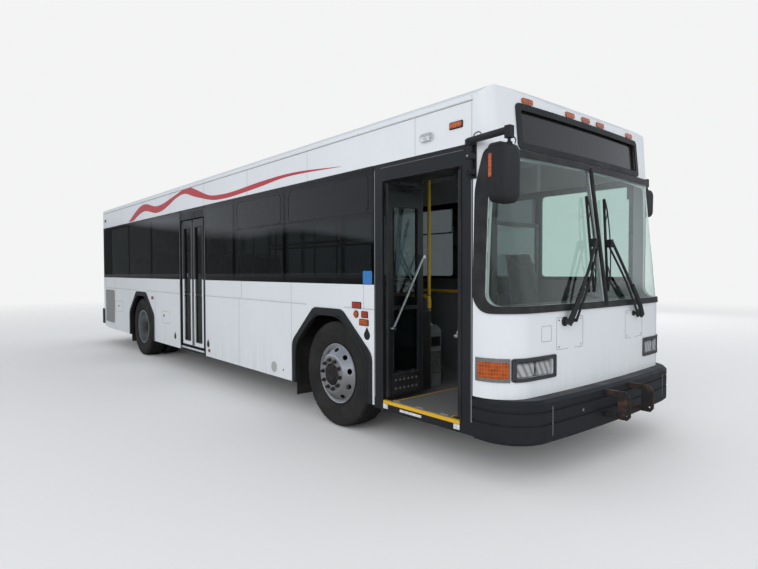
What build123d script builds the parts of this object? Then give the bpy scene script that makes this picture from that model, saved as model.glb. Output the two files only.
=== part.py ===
from build123d import *
import math
import os

# A two-door low-floor city bus, 35 ft class. Millimetres, +X forward, +Y to the driver's side, +Z up.
# The origin is on the ground, at the middle of the overall length and width.
# A "reach" is a distance along X measured forward from the front axle.

os.makedirs("parts", exist_ok=True)

# Overall sizes
overall_width = 2590
wheelbase = 6130
bumper_reach = 2265
rack_reach = 2460
rear_bumper_reach = -8950
body_rear_reach = -8790
mask_side_reach = 1790
mask_reach = 2147
screen_top_reach = 1985
brow_reach = 1945
wall = 45
skirt_z = 340
tail_skirt_z = 400
mask_foot_z = 622
screen_foot_z = 1240
sill_z = 1425
band_top_z = 2490
glass_head_z = 2466
transom_z = 2080
screen_top_z = 2456
cove_top_z = 2800
roof_edge_z = 2845
roof_crown_z = 2940
brow_z = 2868
half = overall_width / 2

front_axle_x = -(rack_reach + rear_bumper_reach) / 2
rear_axle_x = front_axle_x - wheelbase

# Doors
front_door_rear = 650
front_door_front = mask_side_reach
front_door_post = 122
rear_door_rear = -4110
rear_door_front = -3120
rear_door_post = 52
post_chamfer = 26
door_foot_z = 320
threshold_z = 405
door_head_z = 2333
door_gap = 6
leaf_thickness = 38
leaf_inset = 14

# Side windows: pane joints as reaches, front to back, for each stretch of the band.
# The panes are bonded to the outside of the frames, flush with the skin.
pillar_width = 90
frame_thickness = 40
glass_thickness = 6
pane_joint = 8
window_radius = 45
rail_width = 14
rail_proud = 3
right_front_bays = (front_door_rear, -915, -2190, rear_door_front)
right_rear_bays = (rear_door_rear, -5457, -6775, -8035)
left_bays = (mask_side_reach, 650, -660, -1970, -3280, -4590, -5900, -7100, -8035)
# Bays with a hopper vent over a transom, counted from the front
right_vents = (0, 1)
left_vents = (1, 2, 3, 4, 5)

# Nose corners in plan
corner_radius = 280
brow_radius = 150
crown_radius = 100
nose_bow = 35

# Wheels
tyre_radius = 527
tyre_width = 282
bead_radius = 290
flange_radius = 306
rim_width = 242
flange_thickness = 12
wheel_inset = 36
dual_spacing = 330
disc_thickness = 22
hub_radius = 105
hand_hole_radius = 21
hand_hole_circle = 222
hand_holes = 10
front_dish = 62
wheel_y = half - wheel_inset - tyre_width / 2

# Steering
kingpin_inset = 190
kingpin_radius = 26
spindle_radius = 38
running_gap = 1.5
steering_arm = 170
tie_rod_z = 296
kingpin_y = wheel_y - kingpin_inset

# Wheel arches, columns: rear reach, front reach, flat top's rear reach, flat top's front reach
arch_top_z = 1115
arch_shoulder_z = 765
arch_radius = 150
arch_trim_width = 66
arch_trim_proud = 12
front_arch = (682, 556, 300, 140)
rear_arch = (575, 725, 180, 320)
AXLES = ((front_axle_x, front_arch), (rear_axle_x, rear_arch))

# Floors
floor_z = 385
driver_floor_z = floor_z + 240
driver_platform_y = 330
floor_thickness = 45
rear_floor_z = 840
deck_z = 1390
house_wall = 12
house_top_z = 1150
ramp_width = 680
ramp_length = 950
ramp_thickness = 20
ramp_hinge_z = 422
ramp_hinge_radius = 8


def at(reach):
    """X of a place measured forward from the front axle."""
    return front_axle_x + reach


def save(piece, label):
    piece.part.label = label
    export_step(piece.part, f"parts/{label}.step")


def box(x0, x1, y0, y1, z0, z1, mode=Mode.ADD):
    """A box between two corners."""
    with Locations(((x0 + x1) / 2, (y0 + y1) / 2, (z0 + z1) / 2)):
        Box(abs(x1 - x0), abs(y1 - y0), abs(z1 - z0), mode=mode)


def rectangle(x0, x1, y0, y1, mode=Mode.ADD):
    """A rectangle of a sketch between two corners."""
    with Locations(((x0 + x1) / 2, (y0 + y1) / 2)):
        Rectangle(abs(x1 - x0), abs(y1 - y0), mode=mode)


def rounded(x0, x1, y0, y1, radius):
    """A rectangle with round corners, between two corners, as a sketch."""
    with BuildSketch() as outline:
        rectangle(x0, x1, y0, y1)
        fillet(outline.vertices(), radius)
    return outline.sketch


def wall_plane(side, depth=0.0):
    """Sketch plane of a side wall, depth in from the skin. Extruding side * t goes inward by t."""
    return Plane.XZ.offset(-side * (half - depth))


def arch(axle_x, reaches, inset, foot_z):
    """The outline of a wheel arch, drawn in by inset, in a side wall's sketch."""
    back, front, flat_back, flat_front = reaches
    slant = inset * 0.4
    low = [(axle_x - back + inset, foot_z), (axle_x - back + inset, arch_shoulder_z - slant)]
    top_z = arch_top_z - inset
    top = [(axle_x - flat_back + slant, top_z), (axle_x + flat_front - slant, top_z)]
    down = [(axle_x + front - inset, arch_shoulder_z - slant), (axle_x + front - inset, foot_z)]
    with BuildSketch() as outline:
        with BuildLine() as edge:
            FilletPolyline(*low, *top, *down, radius=arch_radius)
            Line(down[-1], low[0])
        make_face()
    return outline.sketch


def nose(reach, z, radius, inset=0):
    """Plan of the nose at one height: straight sides, round corners and a slightly bowed front.

    An inset draws the whole outline in, and lets its open back run past the others.
    """
    front = at(reach) - inset
    width = half - inset
    corner = radius - inset
    back = at(mask_side_reach) - max(inset, 0)
    shoulder = front - nose_bow
    flat = width - corner
    diagonal = corner * math.sqrt(0.5)
    with BuildSketch(Plane.XY.offset(z)) as plan:
        with BuildLine():
            Line((back, -width), (shoulder - corner, -width))
            ThreePointArc(
                (shoulder - corner, -width),
                (shoulder - corner + diagonal, -flat - diagonal),
                (shoulder, -flat),
            )
            ThreePointArc((shoulder, -flat), (front, 0), (shoulder, flat))
            ThreePointArc(
                (shoulder, flat),
                (shoulder - corner + diagonal, flat + diagonal),
                (shoulder - corner, width),
            )
            Line((shoulder - corner, width), (back, width))
            Line((back, width), (back, -width))
        make_face()
    return plan.sketch


# Wheels

def wheel_plane(x, y, side):
    """Plane through a wheel's axis: local x points out of the bus, local y is the radius."""
    return Plane(origin=(x, y, tyre_radius), x_dir=(0, side, 0), z_dir=(side, 0, 0))


def turned(points, plane):
    """A solid turned about the plane's local x axis from the outline of its section."""
    with BuildPart() as solid:
        with BuildSketch(plane):
            with BuildLine():
                Polyline(*points, close=True)
            make_face()
        revolve(axis=Axis(plane.origin, plane.x_dir))
    return solid.part


def tyre_section():
    edge = tyre_width / 2
    seat = rim_width / 2 - flange_thickness
    return [
        (-seat, bead_radius),
        (-seat, flange_radius + 8),
        (-edge, flange_radius + 70),
        (-edge, tyre_radius - 80),
        (-edge + 22, tyre_radius - 10),
        (-edge + 52, tyre_radius),
        (edge - 52, tyre_radius),
        (edge - 22, tyre_radius - 10),
        (edge, tyre_radius - 80),
        (edge, flange_radius + 70),
        (seat, flange_radius + 8),
        (seat, bead_radius),
    ]


def barrel(side):
    """Outline of a rim's barrel, from the flange on the given side to the far flange."""
    edge = side * rim_width / 2
    seat = side * (rim_width / 2 - flange_thickness)
    return [
        (edge, flange_radius - 22),
        (edge, flange_radius),
        (seat, flange_radius),
        (seat, bead_radius),
        (-seat, bead_radius),
        (-seat, flange_radius),
        (-edge, flange_radius),
        (-edge, flange_radius - 22),
    ]


def front_rim_section():
    face = front_dish
    back = face - disc_thickness
    return barrel(1) + [
        (-rim_width / 2 + 40, bead_radius - 18),
        (back - 10, bead_radius - 26),
        (back, 240),
        (back, hub_radius),
        (back - 38, hub_radius),
        (back - 38, spindle_radius + running_gap),
        (face - 4, spindle_radius + running_gap),
        (face - 4, 0),
        (face + 84, 0),
        (face + 84, 62),
        (face + 70, hub_radius - 12),
        (face, hub_radius),
        (face, 178),
        (face + 12, 196),
        (face + 12, 240),
        (face + 24, bead_radius - 22),
    ]


def rear_outer_section():
    mount = -dual_spacing / 2
    face = mount + disc_thickness
    return barrel(1) + [
        (mount, 240),
        (mount, 0),
        (30, 0),
        (30, 70),
        (14, 96),
        (face, hub_radius),
        (face, 178),
        (face, 232),
        (-rim_width / 2 + 20, bead_radius - 24),
    ]


def rear_inner_section():
    mount = dual_spacing / 2
    face = mount - disc_thickness
    return barrel(-1) + [
        (mount, 240),
        (mount, 150),
        (face, 150),
        (face, 232),
        (rim_width / 2 - 20, bead_radius - 24),
    ]


def hand_hole_row(x, y, side, start, depth):
    """The ring of hand holes of a disc, as bars that are cut away."""
    face = Plane(origin=(x, y, tyre_radius), x_dir=(1, 0, 0), z_dir=(0, side, 0))
    with BuildPart() as bars:
        with BuildSketch(face.offset(start)):
            with PolarLocations(hand_hole_circle, hand_holes):
                Circle(hand_hole_radius)
        extrude(amount=depth)
    return bars.part


for side, name in ((-1, "right"), (1, "left")):
    front_plane = wheel_plane(front_axle_x, side * wheel_y, side)
    outer_plane = wheel_plane(rear_axle_x, side * wheel_y, side)
    inner_plane = wheel_plane(rear_axle_x, side * (wheel_y - dual_spacing), side)

    with BuildPart() as front_tyre:
        add(turned(tyre_section(), front_plane))
    save(front_tyre, f"front_tyre_{name}")

    with BuildPart() as front_rim:
        add(turned(front_rim_section(), front_plane))
        holes = hand_hole_row(front_axle_x, side * wheel_y, side, front_dish - 60, 100)
        add(holes, mode=Mode.SUBTRACT)
    save(front_rim, f"front_rim_{name}")

    with BuildPart() as rear_tyres:
        add(turned(tyre_section(), outer_plane))
        add(turned(tyre_section(), inner_plane))
    save(rear_tyres, f"rear_tyres_{name}")

    with BuildPart() as rear_rims:
        add(turned(rear_outer_section(), outer_plane))
        add(turned(rear_inner_section(), inner_plane))
        holes = hand_hole_row(rear_axle_x, side * wheel_y, side, -dual_spacing / 2 - 40, 80)
        add(holes, mode=Mode.SUBTRACT)
    save(rear_rims, f"rear_rims_{name}")


# Front axle, knuckles and tie rod

eye_radius = 44
eye_height = 92
eye_gap = 3
beam_width = 92
beam_height = 84
beam_top_z = 318
lug_height = 34
lug_radius = 44
ball_radius = 26
ball_height = 46
stud_radius = 9.5
stud_height = 30
arm_foot_z = tie_rod_z + ball_height / 2 + eye_gap

with BuildPart() as front_axle:
    rise_y = kingpin_y - 210
    box(
        front_axle_x - beam_width / 2, front_axle_x + beam_width / 2,
        -rise_y, rise_y, beam_top_z - beam_height, beam_top_z,
    )
    for side in (-1, 1):
        with BuildSketch(Plane.YZ.offset(front_axle_x - beam_width / 2)):
            with BuildLine():
                Polyline(
                    (side * rise_y, beam_top_z - beam_height),
                    (side * (rise_y + 60), beam_top_z - beam_height + 16),
                    (side * (kingpin_y - lug_radius - 14), tyre_radius - eye_height / 2 + 6),
                    (side * (kingpin_y - 20), tyre_radius - eye_height / 2 + 6),
                    (side * (kingpin_y - 20), tyre_radius + eye_height / 2 - 6),
                    (side * (kingpin_y - 90), tyre_radius + eye_height / 2 - 6),
                    (side * (rise_y), beam_top_z),
                    close=True,
                )
            make_face()
        extrude(amount=beam_width)
        with Locations((front_axle_x, side * kingpin_y, tyre_radius)):
            Cylinder(eye_radius, eye_height)
    for side in (-1, 1):
        with Locations((front_axle_x, side * kingpin_y, tyre_radius)):
            Cylinder(kingpin_radius + running_gap, eye_height, mode=Mode.SUBTRACT)
save(front_axle, "front_axle")

for side, name in ((-1, "right"), (1, "left")):
    with BuildPart() as knuckle:
        lug_z = eye_height / 2 + eye_gap
        with Locations((front_axle_x, side * kingpin_y, tyre_radius)):
            Cylinder(kingpin_radius, eye_height + 2 * eye_gap + 2 * lug_height)
        for level in (-1, 1):
            with Locations((front_axle_x, side * kingpin_y, tyre_radius + level * (lug_z + lug_height / 2))):
                Cylinder(lug_radius, lug_height)
            plate = tyre_radius + level * (lug_z + lug_height / 2)
            box(
                front_axle_x - lug_radius, front_axle_x + lug_radius,
                side * kingpin_y, side * (kingpin_y + 92),
                plate - lug_height / 2, plate + lug_height / 2,
            )
        box(
            front_axle_x - lug_radius, front_axle_x + lug_radius,
            side * (kingpin_y + 52), side * (kingpin_y + 92),
            tyre_radius - lug_z - lug_height, tyre_radius + lug_z + lug_height,
        )
        spindle_end = kingpin_inset + front_dish - 4 - eye_gap
        with BuildSketch(Plane.XZ.offset(-side * (kingpin_y + 90))):
            with Locations((front_axle_x, tyre_radius)):
                Circle(spindle_radius)
        extrude(amount=-side * (spindle_end - 90))
        arm_top = tyre_radius - lug_z - lug_height
        box(
            front_axle_x - steering_arm, front_axle_x,
            side * kingpin_y - 22, side * kingpin_y + 22, arm_top - 26, arm_top,
        )
        with Locations((front_axle_x, side * kingpin_y, arm_top - 13)):
            Cylinder(lug_radius, 26)
        ball_x = front_axle_x - steering_arm
        with Locations((ball_x, side * kingpin_y, (arm_top + arm_foot_z) / 2)):
            Cylinder(ball_radius, arm_top - arm_foot_z)
        with Locations((ball_x, side * kingpin_y, arm_foot_z + stud_height / 2)):
            Cylinder(stud_radius + running_gap, stud_height, mode=Mode.SUBTRACT)
    save(knuckle, f"knuckle_{name}")

tie_rod_radius = 17
with BuildPart() as tie_rod:
    ball_x = front_axle_x - steering_arm
    for side in (-1, 1):
        with Locations((ball_x, side * kingpin_y, tie_rod_z)):
            Cylinder(ball_radius, ball_height)
        stud_top = arm_foot_z + stud_height - eye_gap
        with Locations((ball_x, side * kingpin_y, (tie_rod_z + stud_top) / 2)):
            Cylinder(stud_radius, stud_top - tie_rod_z)
    with BuildSketch(Plane.XZ.offset(kingpin_y)):
        with Locations((ball_x, tie_rod_z)):
            Circle(tie_rod_radius)
    extrude(amount=-2 * kingpin_y)
save(tie_rod, "tie_rod")


# Rear axle and engine

axle_tube_radius = 82
axle_slot = 130
drive_bowl_radius = 205
propeller_radius = 48
engine_rear_reach = -8560
engine_front_reach = -7330
with BuildPart() as rear_axle:
    tube_end = wheel_y - dual_spacing / 2 - 8
    with BuildSketch(Plane.XZ.offset(tube_end)):
        with Locations((rear_axle_x, tyre_radius)):
            Circle(axle_tube_radius)
    extrude(amount=-2 * tube_end)
    with Locations((rear_axle_x, 0, tyre_radius)):
        Sphere(drive_bowl_radius)
    box(rear_axle_x - 60, rear_axle_x + 60, -380, 380, tyre_radius + 40, 655)
    # The propeller shaft runs back to the engine
    with BuildSketch(Plane.YZ.offset(at(engine_front_reach))):
        with Locations((0, tyre_radius)):
            Circle(propeller_radius)
    extrude(amount=rear_axle_x - at(engine_front_reach))
save(rear_axle, "rear_axle")

with BuildPart() as engine_block:
    box(at(engine_rear_reach), at(engine_front_reach), -430, 430, 470, 1330)
save(engine_block, "engine_block")


# Floors and underframe

inner = half - wall
bulkhead_reach = -7250
step_reach = -4430
step_run = 270
# Wheelhouses, columns: rear X, front X, inner y
houses = (
    (front_axle_x - 740, front_axle_x + 640, 560),
    (rear_axle_x - 690, rear_axle_x + 760, 520),
)

with BuildPart() as floor:
    # Columns: rear reach, front reach, top height
    plates = (
        (step_reach, mask_side_reach - 30, floor_z),
        (step_reach - step_run, step_reach, floor_z + (rear_floor_z - floor_z) / 2),
        (bulkhead_reach, step_reach - step_run, rear_floor_z),
        (body_rear_reach + 300, bulkhead_reach, deck_z),
    )
    for rear, front, top in plates:
        box(at(rear), at(front), -inner, inner, top - floor_thickness, top)
    # Columns: reach, foot, head
    risers = (
        (step_reach, floor_z - floor_thickness, floor_z + (rear_floor_z - floor_z) / 2),
        (step_reach - step_run, floor_z + (rear_floor_z - floor_z) / 2 - floor_thickness, rear_floor_z),
        (bulkhead_reach, rear_floor_z - floor_thickness, deck_z),
    )
    for reach, foot, head in risers:
        box(at(reach) - 30, at(reach), -inner, inner, foot, head)
    # The driver's platform
    box(at(700), at(mask_side_reach - 30), driver_platform_y, inner, floor_z, driver_floor_z)
    # Room for the wheels
    for side in (-1, 1):
        for x0, x1, y0 in houses:
            box(x0, x1, side * y0, side * half, 0, house_top_z, mode=Mode.SUBTRACT)
save(floor, "floor")

rail_y = 420
beam_half = 40
cross_half = 30
cradle_y = 510
low_beam_z = floor_z - floor_thickness
high_beam_z = rear_floor_z - floor_thickness
# Columns: rear reach, front reach, y, foot, head
chassis_rails = (
    (-4400, -300, rail_y, 225, low_beam_z),
    (300, 1700, rail_y, 225, low_beam_z),
    (bulkhead_reach, -4740, rail_y, 655, high_beam_z),
    (-8700, bulkhead_reach, cradle_y, 560, 700),
)
# Columns: reach, foot, head
cross_members = (
    (-4340, 260, low_beam_z), (-3000, 260, low_beam_z), (-1700, 260, low_beam_z),
    (-900, 260, low_beam_z), (900, 260, low_beam_z), (1640, 260, low_beam_z),
    (-7210, 690, high_beam_z), (-5000, 690, high_beam_z),
)
with BuildPart() as underframe:
    for rear, front, y, foot, head in chassis_rails:
        for side in (-1, 1):
            box(at(rear), at(front), side * y - beam_half, side * y + beam_half, foot, head)
    for reach, foot, head in cross_members:
        end = rail_y - beam_half
        box(at(reach) - cross_half, at(reach) + cross_half, -end, end, foot, head)
save(underframe, "underframe")

flap_thickness = 10
flap_width = 420
flap_foot_z = 190
with BuildPart() as wheelhouses:
    for x0, x1, y0 in houses:
        for side in (-1, 1):
            box(x0, x1, side * y0, side * inner, skirt_z, house_top_z)
            box(
                x0 + house_wall, x1 - house_wall, side * (y0 + house_wall), side * inner,
                skirt_z, house_top_z - house_wall, mode=Mode.SUBTRACT,
            )
            # The mud flap hangs from the rear wall
            box(x0, x0 + flap_thickness, side * (inner - flap_width), side * inner, flap_foot_z, skirt_z + 40)
    # The rear axle passes through the inner walls
    box(
        rear_axle_x - axle_slot, rear_axle_x + axle_slot, -half, half,
        0, tyre_radius + axle_slot, mode=Mode.SUBTRACT,
    )
save(wheelhouses, "wheelhouses")


# Side walls below the windows

def lower_wall(side, stretches):
    """The side wall from skirt to window sill, over the given stretches of reaches."""
    with BuildPart() as piece:
        with BuildSketch(wall_plane(side)):
            for rear, front in stretches:
                rectangle(at(rear), at(front), skirt_z, sill_z)
            for axle_x, reaches in AXLES:
                add(arch(axle_x, reaches, 0, skirt_z - 10), mode=Mode.SUBTRACT)
            with BuildLine():
                Polyline(
                    (at(body_rear_reach), skirt_z),
                    (at(body_rear_reach), tail_skirt_z),
                    (at(body_rear_reach + 560), skirt_z),
                    close=True,
                )
            make_face(mode=Mode.SUBTRACT)
            # The engine bay's grille, with slots between its blades
            for row in range(grille_slots):
                z = grille_foot_z + row * grille_pitch
                for x0, x1 in grille_columns:
                    rectangle(at(x0), at(x1), z, z + grille_slot, mode=Mode.SUBTRACT)
        extrude(amount=side * wall)
    return piece


tail_reach = body_rear_reach + 190
grille_foot_z = 500
grille_pitch = 36
grille_slot = 22
grille_slots = 18
grille_columns = ((-8480, -8190), (-8165, -7870))
right_lower = lower_wall(-1, ((tail_reach, rear_door_rear), (rear_door_front, front_door_rear)))
save(right_lower, "side_lower_right")
left_lower = lower_wall(1, ((tail_reach, mask_side_reach),))
save(left_lower, "side_lower_left")


# Window bands and their glass

def bay_list(bays):
    """The bays between pane joints, as pairs of X."""
    return [(at(rear), at(front)) for front, rear in zip(bays[:-1], bays[1:])]


def transoms(bays, vents):
    """The transom bars that part a vent from the pane under it, in a side wall's sketch."""
    with BuildSketch() as bars:
        for number in vents:
            x0, x1 = bay_list(bays)[number]
            rectangle(x0, x1, transom_z - rail_width / 2, transom_z + rail_width / 2)
    return bars.sketch


def band(side, bays, rear_end, vents):
    """The window band: a frame with a hole behind each pane, a rain rail on top and the transoms."""
    with BuildPart() as piece:
        with BuildSketch(wall_plane(side, glass_thickness)):
            rectangle(at(rear_end), at(bays[0]), sill_z, band_top_z)
            for x0, x1 in bay_list(bays):
                x0 += pillar_width / 2
                x1 -= pillar_width / 2
                if x1 - x0 > 2 * window_radius:
                    add(rounded(x0, x1, sill_z + 55, glass_head_z - 45, window_radius), mode=Mode.SUBTRACT)
        extrude(amount=side * (frame_thickness - glass_thickness))
        with BuildSketch(wall_plane(side, -rail_proud)):
            rectangle(at(rear_end), at(bays[0]), glass_head_z, band_top_z)
            if vents:
                add(transoms(bays, vents))
        extrude(amount=side * (frame_thickness + rail_proud))
    return piece.part


def panes(side, bays, rear_end, vents):
    """The flush panes, with an open joint between neighbours and round the transoms."""
    stretches = bay_list(bays)
    if rear_end < bays[-1]:
        stretches.append((at(rear_end), at(bays[-1])))
    with BuildPart() as piece:
        with BuildSketch(wall_plane(side)):
            for x0, x1 in stretches:
                rectangle(x0 + pane_joint / 2, x1 - pane_joint / 2, sill_z + pane_joint / 2, glass_head_z)
            if vents:
                add(transoms(bays, vents), mode=Mode.SUBTRACT)
        extrude(amount=side * glass_thickness)
    return piece.part


with BuildPart() as window_frames_right:
    add(band(-1, right_front_bays, rear_door_front, right_vents))
    add(band(-1, right_rear_bays, tail_reach, ()))
save(window_frames_right, "window_frames_right")

with BuildPart() as window_frames_left:
    add(band(1, left_bays, tail_reach, left_vents))
save(window_frames_left, "window_frames_left")

with BuildPart() as side_glass:
    add(panes(-1, right_front_bays, rear_door_front, right_vents))
    add(panes(-1, right_rear_bays, tail_reach, ()))
    add(panes(1, left_bays, tail_reach, left_vents))
save(side_glass, "side_glass")

with BuildPart() as cove_panels:
    for side in (-1, 1):
        with BuildSketch(wall_plane(side)):
            rectangle(at(tail_reach), at(mask_side_reach), band_top_z, cove_top_z)
        extrude(amount=side * wall)
save(cove_panels, "cove_panels")


# Roof

def roof_section(thickness=0, foot_z=cove_top_z):
    """Cross section under the roof's outside, drawn in by thickness, in y and z."""
    edge = half - thickness
    side_z = roof_edge_z - thickness
    shoulder = edge - roof_shoulder
    shoulder_z = side_z + 62
    with BuildSketch() as section:
        with BuildLine():
            Line((-edge, foot_z), (-edge, side_z))
            ThreePointArc((-edge, side_z), (-edge + 42, side_z + 38), (-shoulder, shoulder_z))
            ThreePointArc((-shoulder, shoulder_z), (0, roof_crown_z - thickness), (shoulder, shoulder_z))
            ThreePointArc((shoulder, shoulder_z), (edge - 42, side_z + 38), (edge, side_z))
            Line((edge, side_z), (edge, foot_z))
            Line((edge, foot_z), (-edge, foot_z))
        make_face()
    return section.sketch


roof_shoulder = 150
roof_thickness = 38
hatch_size = 600
hatch_wall = 30
hatch_reaches = (-1560, -5900)
hatch_foot_z = roof_crown_z - roof_thickness - 20
hatch_curb_z = roof_crown_z + 22

with BuildPart() as roof:
    with BuildSketch(Plane.YZ.offset(at(tail_reach))):
        add(roof_section())
        add(roof_section(roof_thickness), mode=Mode.SUBTRACT)
    extrude(amount=mask_side_reach - tail_reach)
    for reach in hatch_reaches:
        box(
            at(reach) - hatch_size / 2, at(reach) + hatch_size / 2,
            -hatch_size / 2, hatch_size / 2, hatch_foot_z, hatch_curb_z,
        )
        box(
            at(reach) - hatch_size / 2 + hatch_wall, at(reach) + hatch_size / 2 - hatch_wall,
            -hatch_size / 2 + hatch_wall, hatch_size / 2 - hatch_wall,
            hatch_foot_z, hatch_curb_z, mode=Mode.SUBTRACT,
        )
save(roof, "roof")

hatch_lid = 26
hatch_overlap = 24
for reach, name in zip(hatch_reaches, ("front", "rear")):
    with BuildPart() as hatch:
        reach_out = hatch_size / 2 + hatch_overlap
        box(
            at(reach) - reach_out, at(reach) + reach_out, -reach_out, reach_out,
            hatch_curb_z + door_gap, hatch_curb_z + door_gap + hatch_lid,
        )
        fillet(hatch.edges().filter_by(Axis.Z), 60)
        fillet(hatch.faces().sort_by(Axis.Z)[-1].edges(), 12)
    save(hatch, f"roof_hatch_{name}")


# Nose: mask, windshield and its frame, brow

def nose_block(low, high, inset=0):
    """The nose between two levels, each given by its reach, height and corner radius."""
    with BuildPart() as block:
        add(nose(*low, inset))
        add(nose(*high, inset))
        loft()
    return block.part


mask_low = (mask_reach, mask_foot_z, corner_radius)
mask_high = (mask_reach, screen_foot_z, corner_radius)
screen_low = mask_high
screen_high = (screen_top_reach, screen_top_z, brow_radius)
brow_lean = (screen_top_reach - brow_reach) / (brow_z - screen_top_z)
cap_low = screen_high
cap_high = (brow_reach - brow_lean * (roof_crown_z + 20 - brow_z), roof_crown_z + 20, crown_radius)
nose_wall = 40
divider_width = 26

screen_depth = 6
gasket_proud = 13


def screen_outline(side, edge, radii):
    """A prism over one half of the nose whose side view is bounded by edge, left open at the front."""
    with BuildPart() as prism:
        with BuildSketch(wall_plane(side, -40)):
            with BuildLine():
                points = [(at(reach), z) for reach, z in edge]
                FilletPolyline(*points, radius=radii)
                Line(points[-1], points[0])
            make_face()
        extrude(amount=side * (half + 40))
    return prism.part


# Side views, which wrap round the corners: reach, height. The glass, and the gasket round it
screen_edge = ((2300, 2398), (1915, 2398), (1896, 1292), (2300, 1292))
screen_radii = (60, 95)
gasket_edge = (
    (2300, screen_top_z), (1890, screen_top_z), (1815, 2140), (1793, screen_foot_z), (2300, screen_foot_z),
)
gasket_radii = (90, 500, 150)

with BuildPart() as screen_opening:
    for side in (-1, 1):
        add(screen_outline(side, screen_edge, screen_radii))
    box(at(1700), at(2400), -divider_width / 2, divider_width / 2, 0, 3000, mode=Mode.SUBTRACT)

with BuildPart() as windshield_frame:
    add(nose_block(screen_low, screen_high))
    add(nose_block(screen_low, screen_high, nose_wall), mode=Mode.SUBTRACT)
    add(screen_opening.part, mode=Mode.SUBTRACT)
save(windshield_frame, "windshield_frame")

with BuildPart() as windshield:
    add(nose_block(screen_low, screen_high, screen_depth))
    add(nose_block(screen_low, screen_high, screen_depth + glass_thickness), mode=Mode.SUBTRACT)
    add(screen_opening.part, mode=Mode.INTERSECT)
save(windshield, "windshield")

with BuildPart() as gasket_outline:
    for side in (-1, 1):
        add(screen_outline(side, gasket_edge, gasket_radii))

with BuildPart() as windshield_gasket:
    add(nose_block(screen_low, screen_high, -gasket_proud))
    add(nose_block(screen_low, screen_high), mode=Mode.SUBTRACT)
    add(gasket_outline.part, mode=Mode.INTERSECT)
    add(screen_opening.part, mode=Mode.SUBTRACT)
save(windshield_gasket, "windshield_gasket")


def cap_block(inset=0):
    """The brow over the windshield, under the roof's crown and with a rounded top edge."""
    leaning = nose_block(cap_low, cap_high, inset)
    with BuildPart() as block:
        add(leaning)
        with BuildSketch(Plane.YZ.offset(at(mask_side_reach) - nose_wall)):
            add(roof_section(inset, 0))
        extrude(amount=600, mode=Mode.INTERSECT)
        with BuildSketch(Plane.XZ.offset(-half)):
            front = at(brow_reach) + 30 - inset
            top = roof_crown_z - inset
            back = at(mask_side_reach) - nose_wall
            # The rounded edge crosses the crown at a slant
            with BuildLine():
                Line((back, 0), (back, top + 24))
                Line((back, top + 24), (front - 180, top + 24))
                ThreePointArc((front - 180, top + 24), (front - 64, top - 28), (front - 12, top - 110))
                Line((front - 12, top - 110), (front + 60, screen_top_z - 100))
                Line((front + 60, screen_top_z - 100), (front + 60, 0))
                Line((front + 60, 0), (back, 0))
            make_face()
        extrude(amount=overall_width, mode=Mode.INTERSECT)
    return block.part


sign_half = 965
sign_foot_z = 2478
sign_head_z = 2798
with BuildPart() as sign_opening:
    with BuildSketch(Plane.YZ.offset(at(brow_reach) - 200)) as outline:
        rectangle(-sign_half, sign_half, sign_foot_z, sign_head_z)
        fillet(outline.vertices(), 30)
    extrude(amount=400)

with BuildPart() as front_cap:
    add(cap_block())
    add(cap_block(nose_wall), mode=Mode.SUBTRACT)
    add(sign_opening.part, mode=Mode.SUBTRACT)
save(front_cap, "front_cap")

# The destination signs: a framed one in the brow, one behind the first curb side window
side_sign = (-680, 440, 2110, 2310)
sign_bezel = 34
sign_lap = 16
sign_depth = 14
with BuildPart() as bezel_ring:
    with BuildSketch(Plane.YZ.offset(at(brow_reach) - 200)):
        add(
            rounded(
                -sign_half - sign_lap, sign_half + sign_lap,
                sign_foot_z - sign_lap, sign_head_z + sign_lap, 40,
            )
        )
        add(
            rounded(
                -sign_half + sign_bezel, sign_half - sign_bezel,
                sign_foot_z + sign_bezel, sign_head_z - sign_bezel, 26,
            ),
            mode=Mode.SUBTRACT,
        )
    extrude(amount=400)

with BuildPart() as sign_frame:
    add(nose_block(cap_low, cap_high, -gasket_proud))
    add(nose_block(cap_low, cap_high, 0), mode=Mode.SUBTRACT)
    add(bezel_ring.part, mode=Mode.INTERSECT)
save(sign_frame, "sign_frame")

with BuildPart() as signs:
    add(nose_block(cap_low, cap_high, sign_depth))
    add(nose_block(cap_low, cap_high, sign_depth + glass_thickness), mode=Mode.SUBTRACT)
    add(sign_opening.part, mode=Mode.INTERSECT)
    x0, x1, z0, z1 = side_sign
    depth = half - frame_thickness
    box(at(x0), at(x1), -depth, -depth + 70, z0, z1)
save(signs, "signs")


# Rear end: panel with its engine door, and the tail's round corners

tail_radius = 170
tail_wall = 45
tail_crease = 10
tail_foot_z = 730


def tail_block(foot_z, inset=0):
    """The tail up to the roof's crown, with round corners that meet its flat faces in a faint crease."""
    width = half - inset
    back = at(body_rear_reach) + inset
    front = at(tail_reach) + inset
    corner = tail_radius - inset
    with BuildPart() as block:
        with BuildSketch(Plane.YZ.offset(back - 10)):
            add(roof_section(inset, foot_z))
        extrude(amount=front - back + 20)
        with BuildSketch(Plane.XY.offset(foot_z)) as plan:
            rectangle(back, front, -width - tail_crease, width + tail_crease)
            fillet(plan.vertices().group_by(Axis.X)[0], corner + tail_crease)
        extrude(amount=roof_crown_z + 200 - foot_z, mode=Mode.INTERSECT)
        with BuildSketch(Plane.XZ.offset(-half - 5)):
            top = roof_crown_z - inset
            with BuildLine():
                Line((front + 30, 0), (front + 30, top + 24))
                Line((front + 30, top + 24), (back + 160, top + 24))
                ThreePointArc((back + 160, top + 24), (back + 40, top - 34), (back - tail_crease, top - 150))
                Line((back - tail_crease, top - 150), (back - tail_crease, 0))
                Line((back - tail_crease, 0), (front + 30, 0))
            make_face()
        extrude(amount=overall_width + 10, mode=Mode.INTERSECT)
    return block.part


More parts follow.
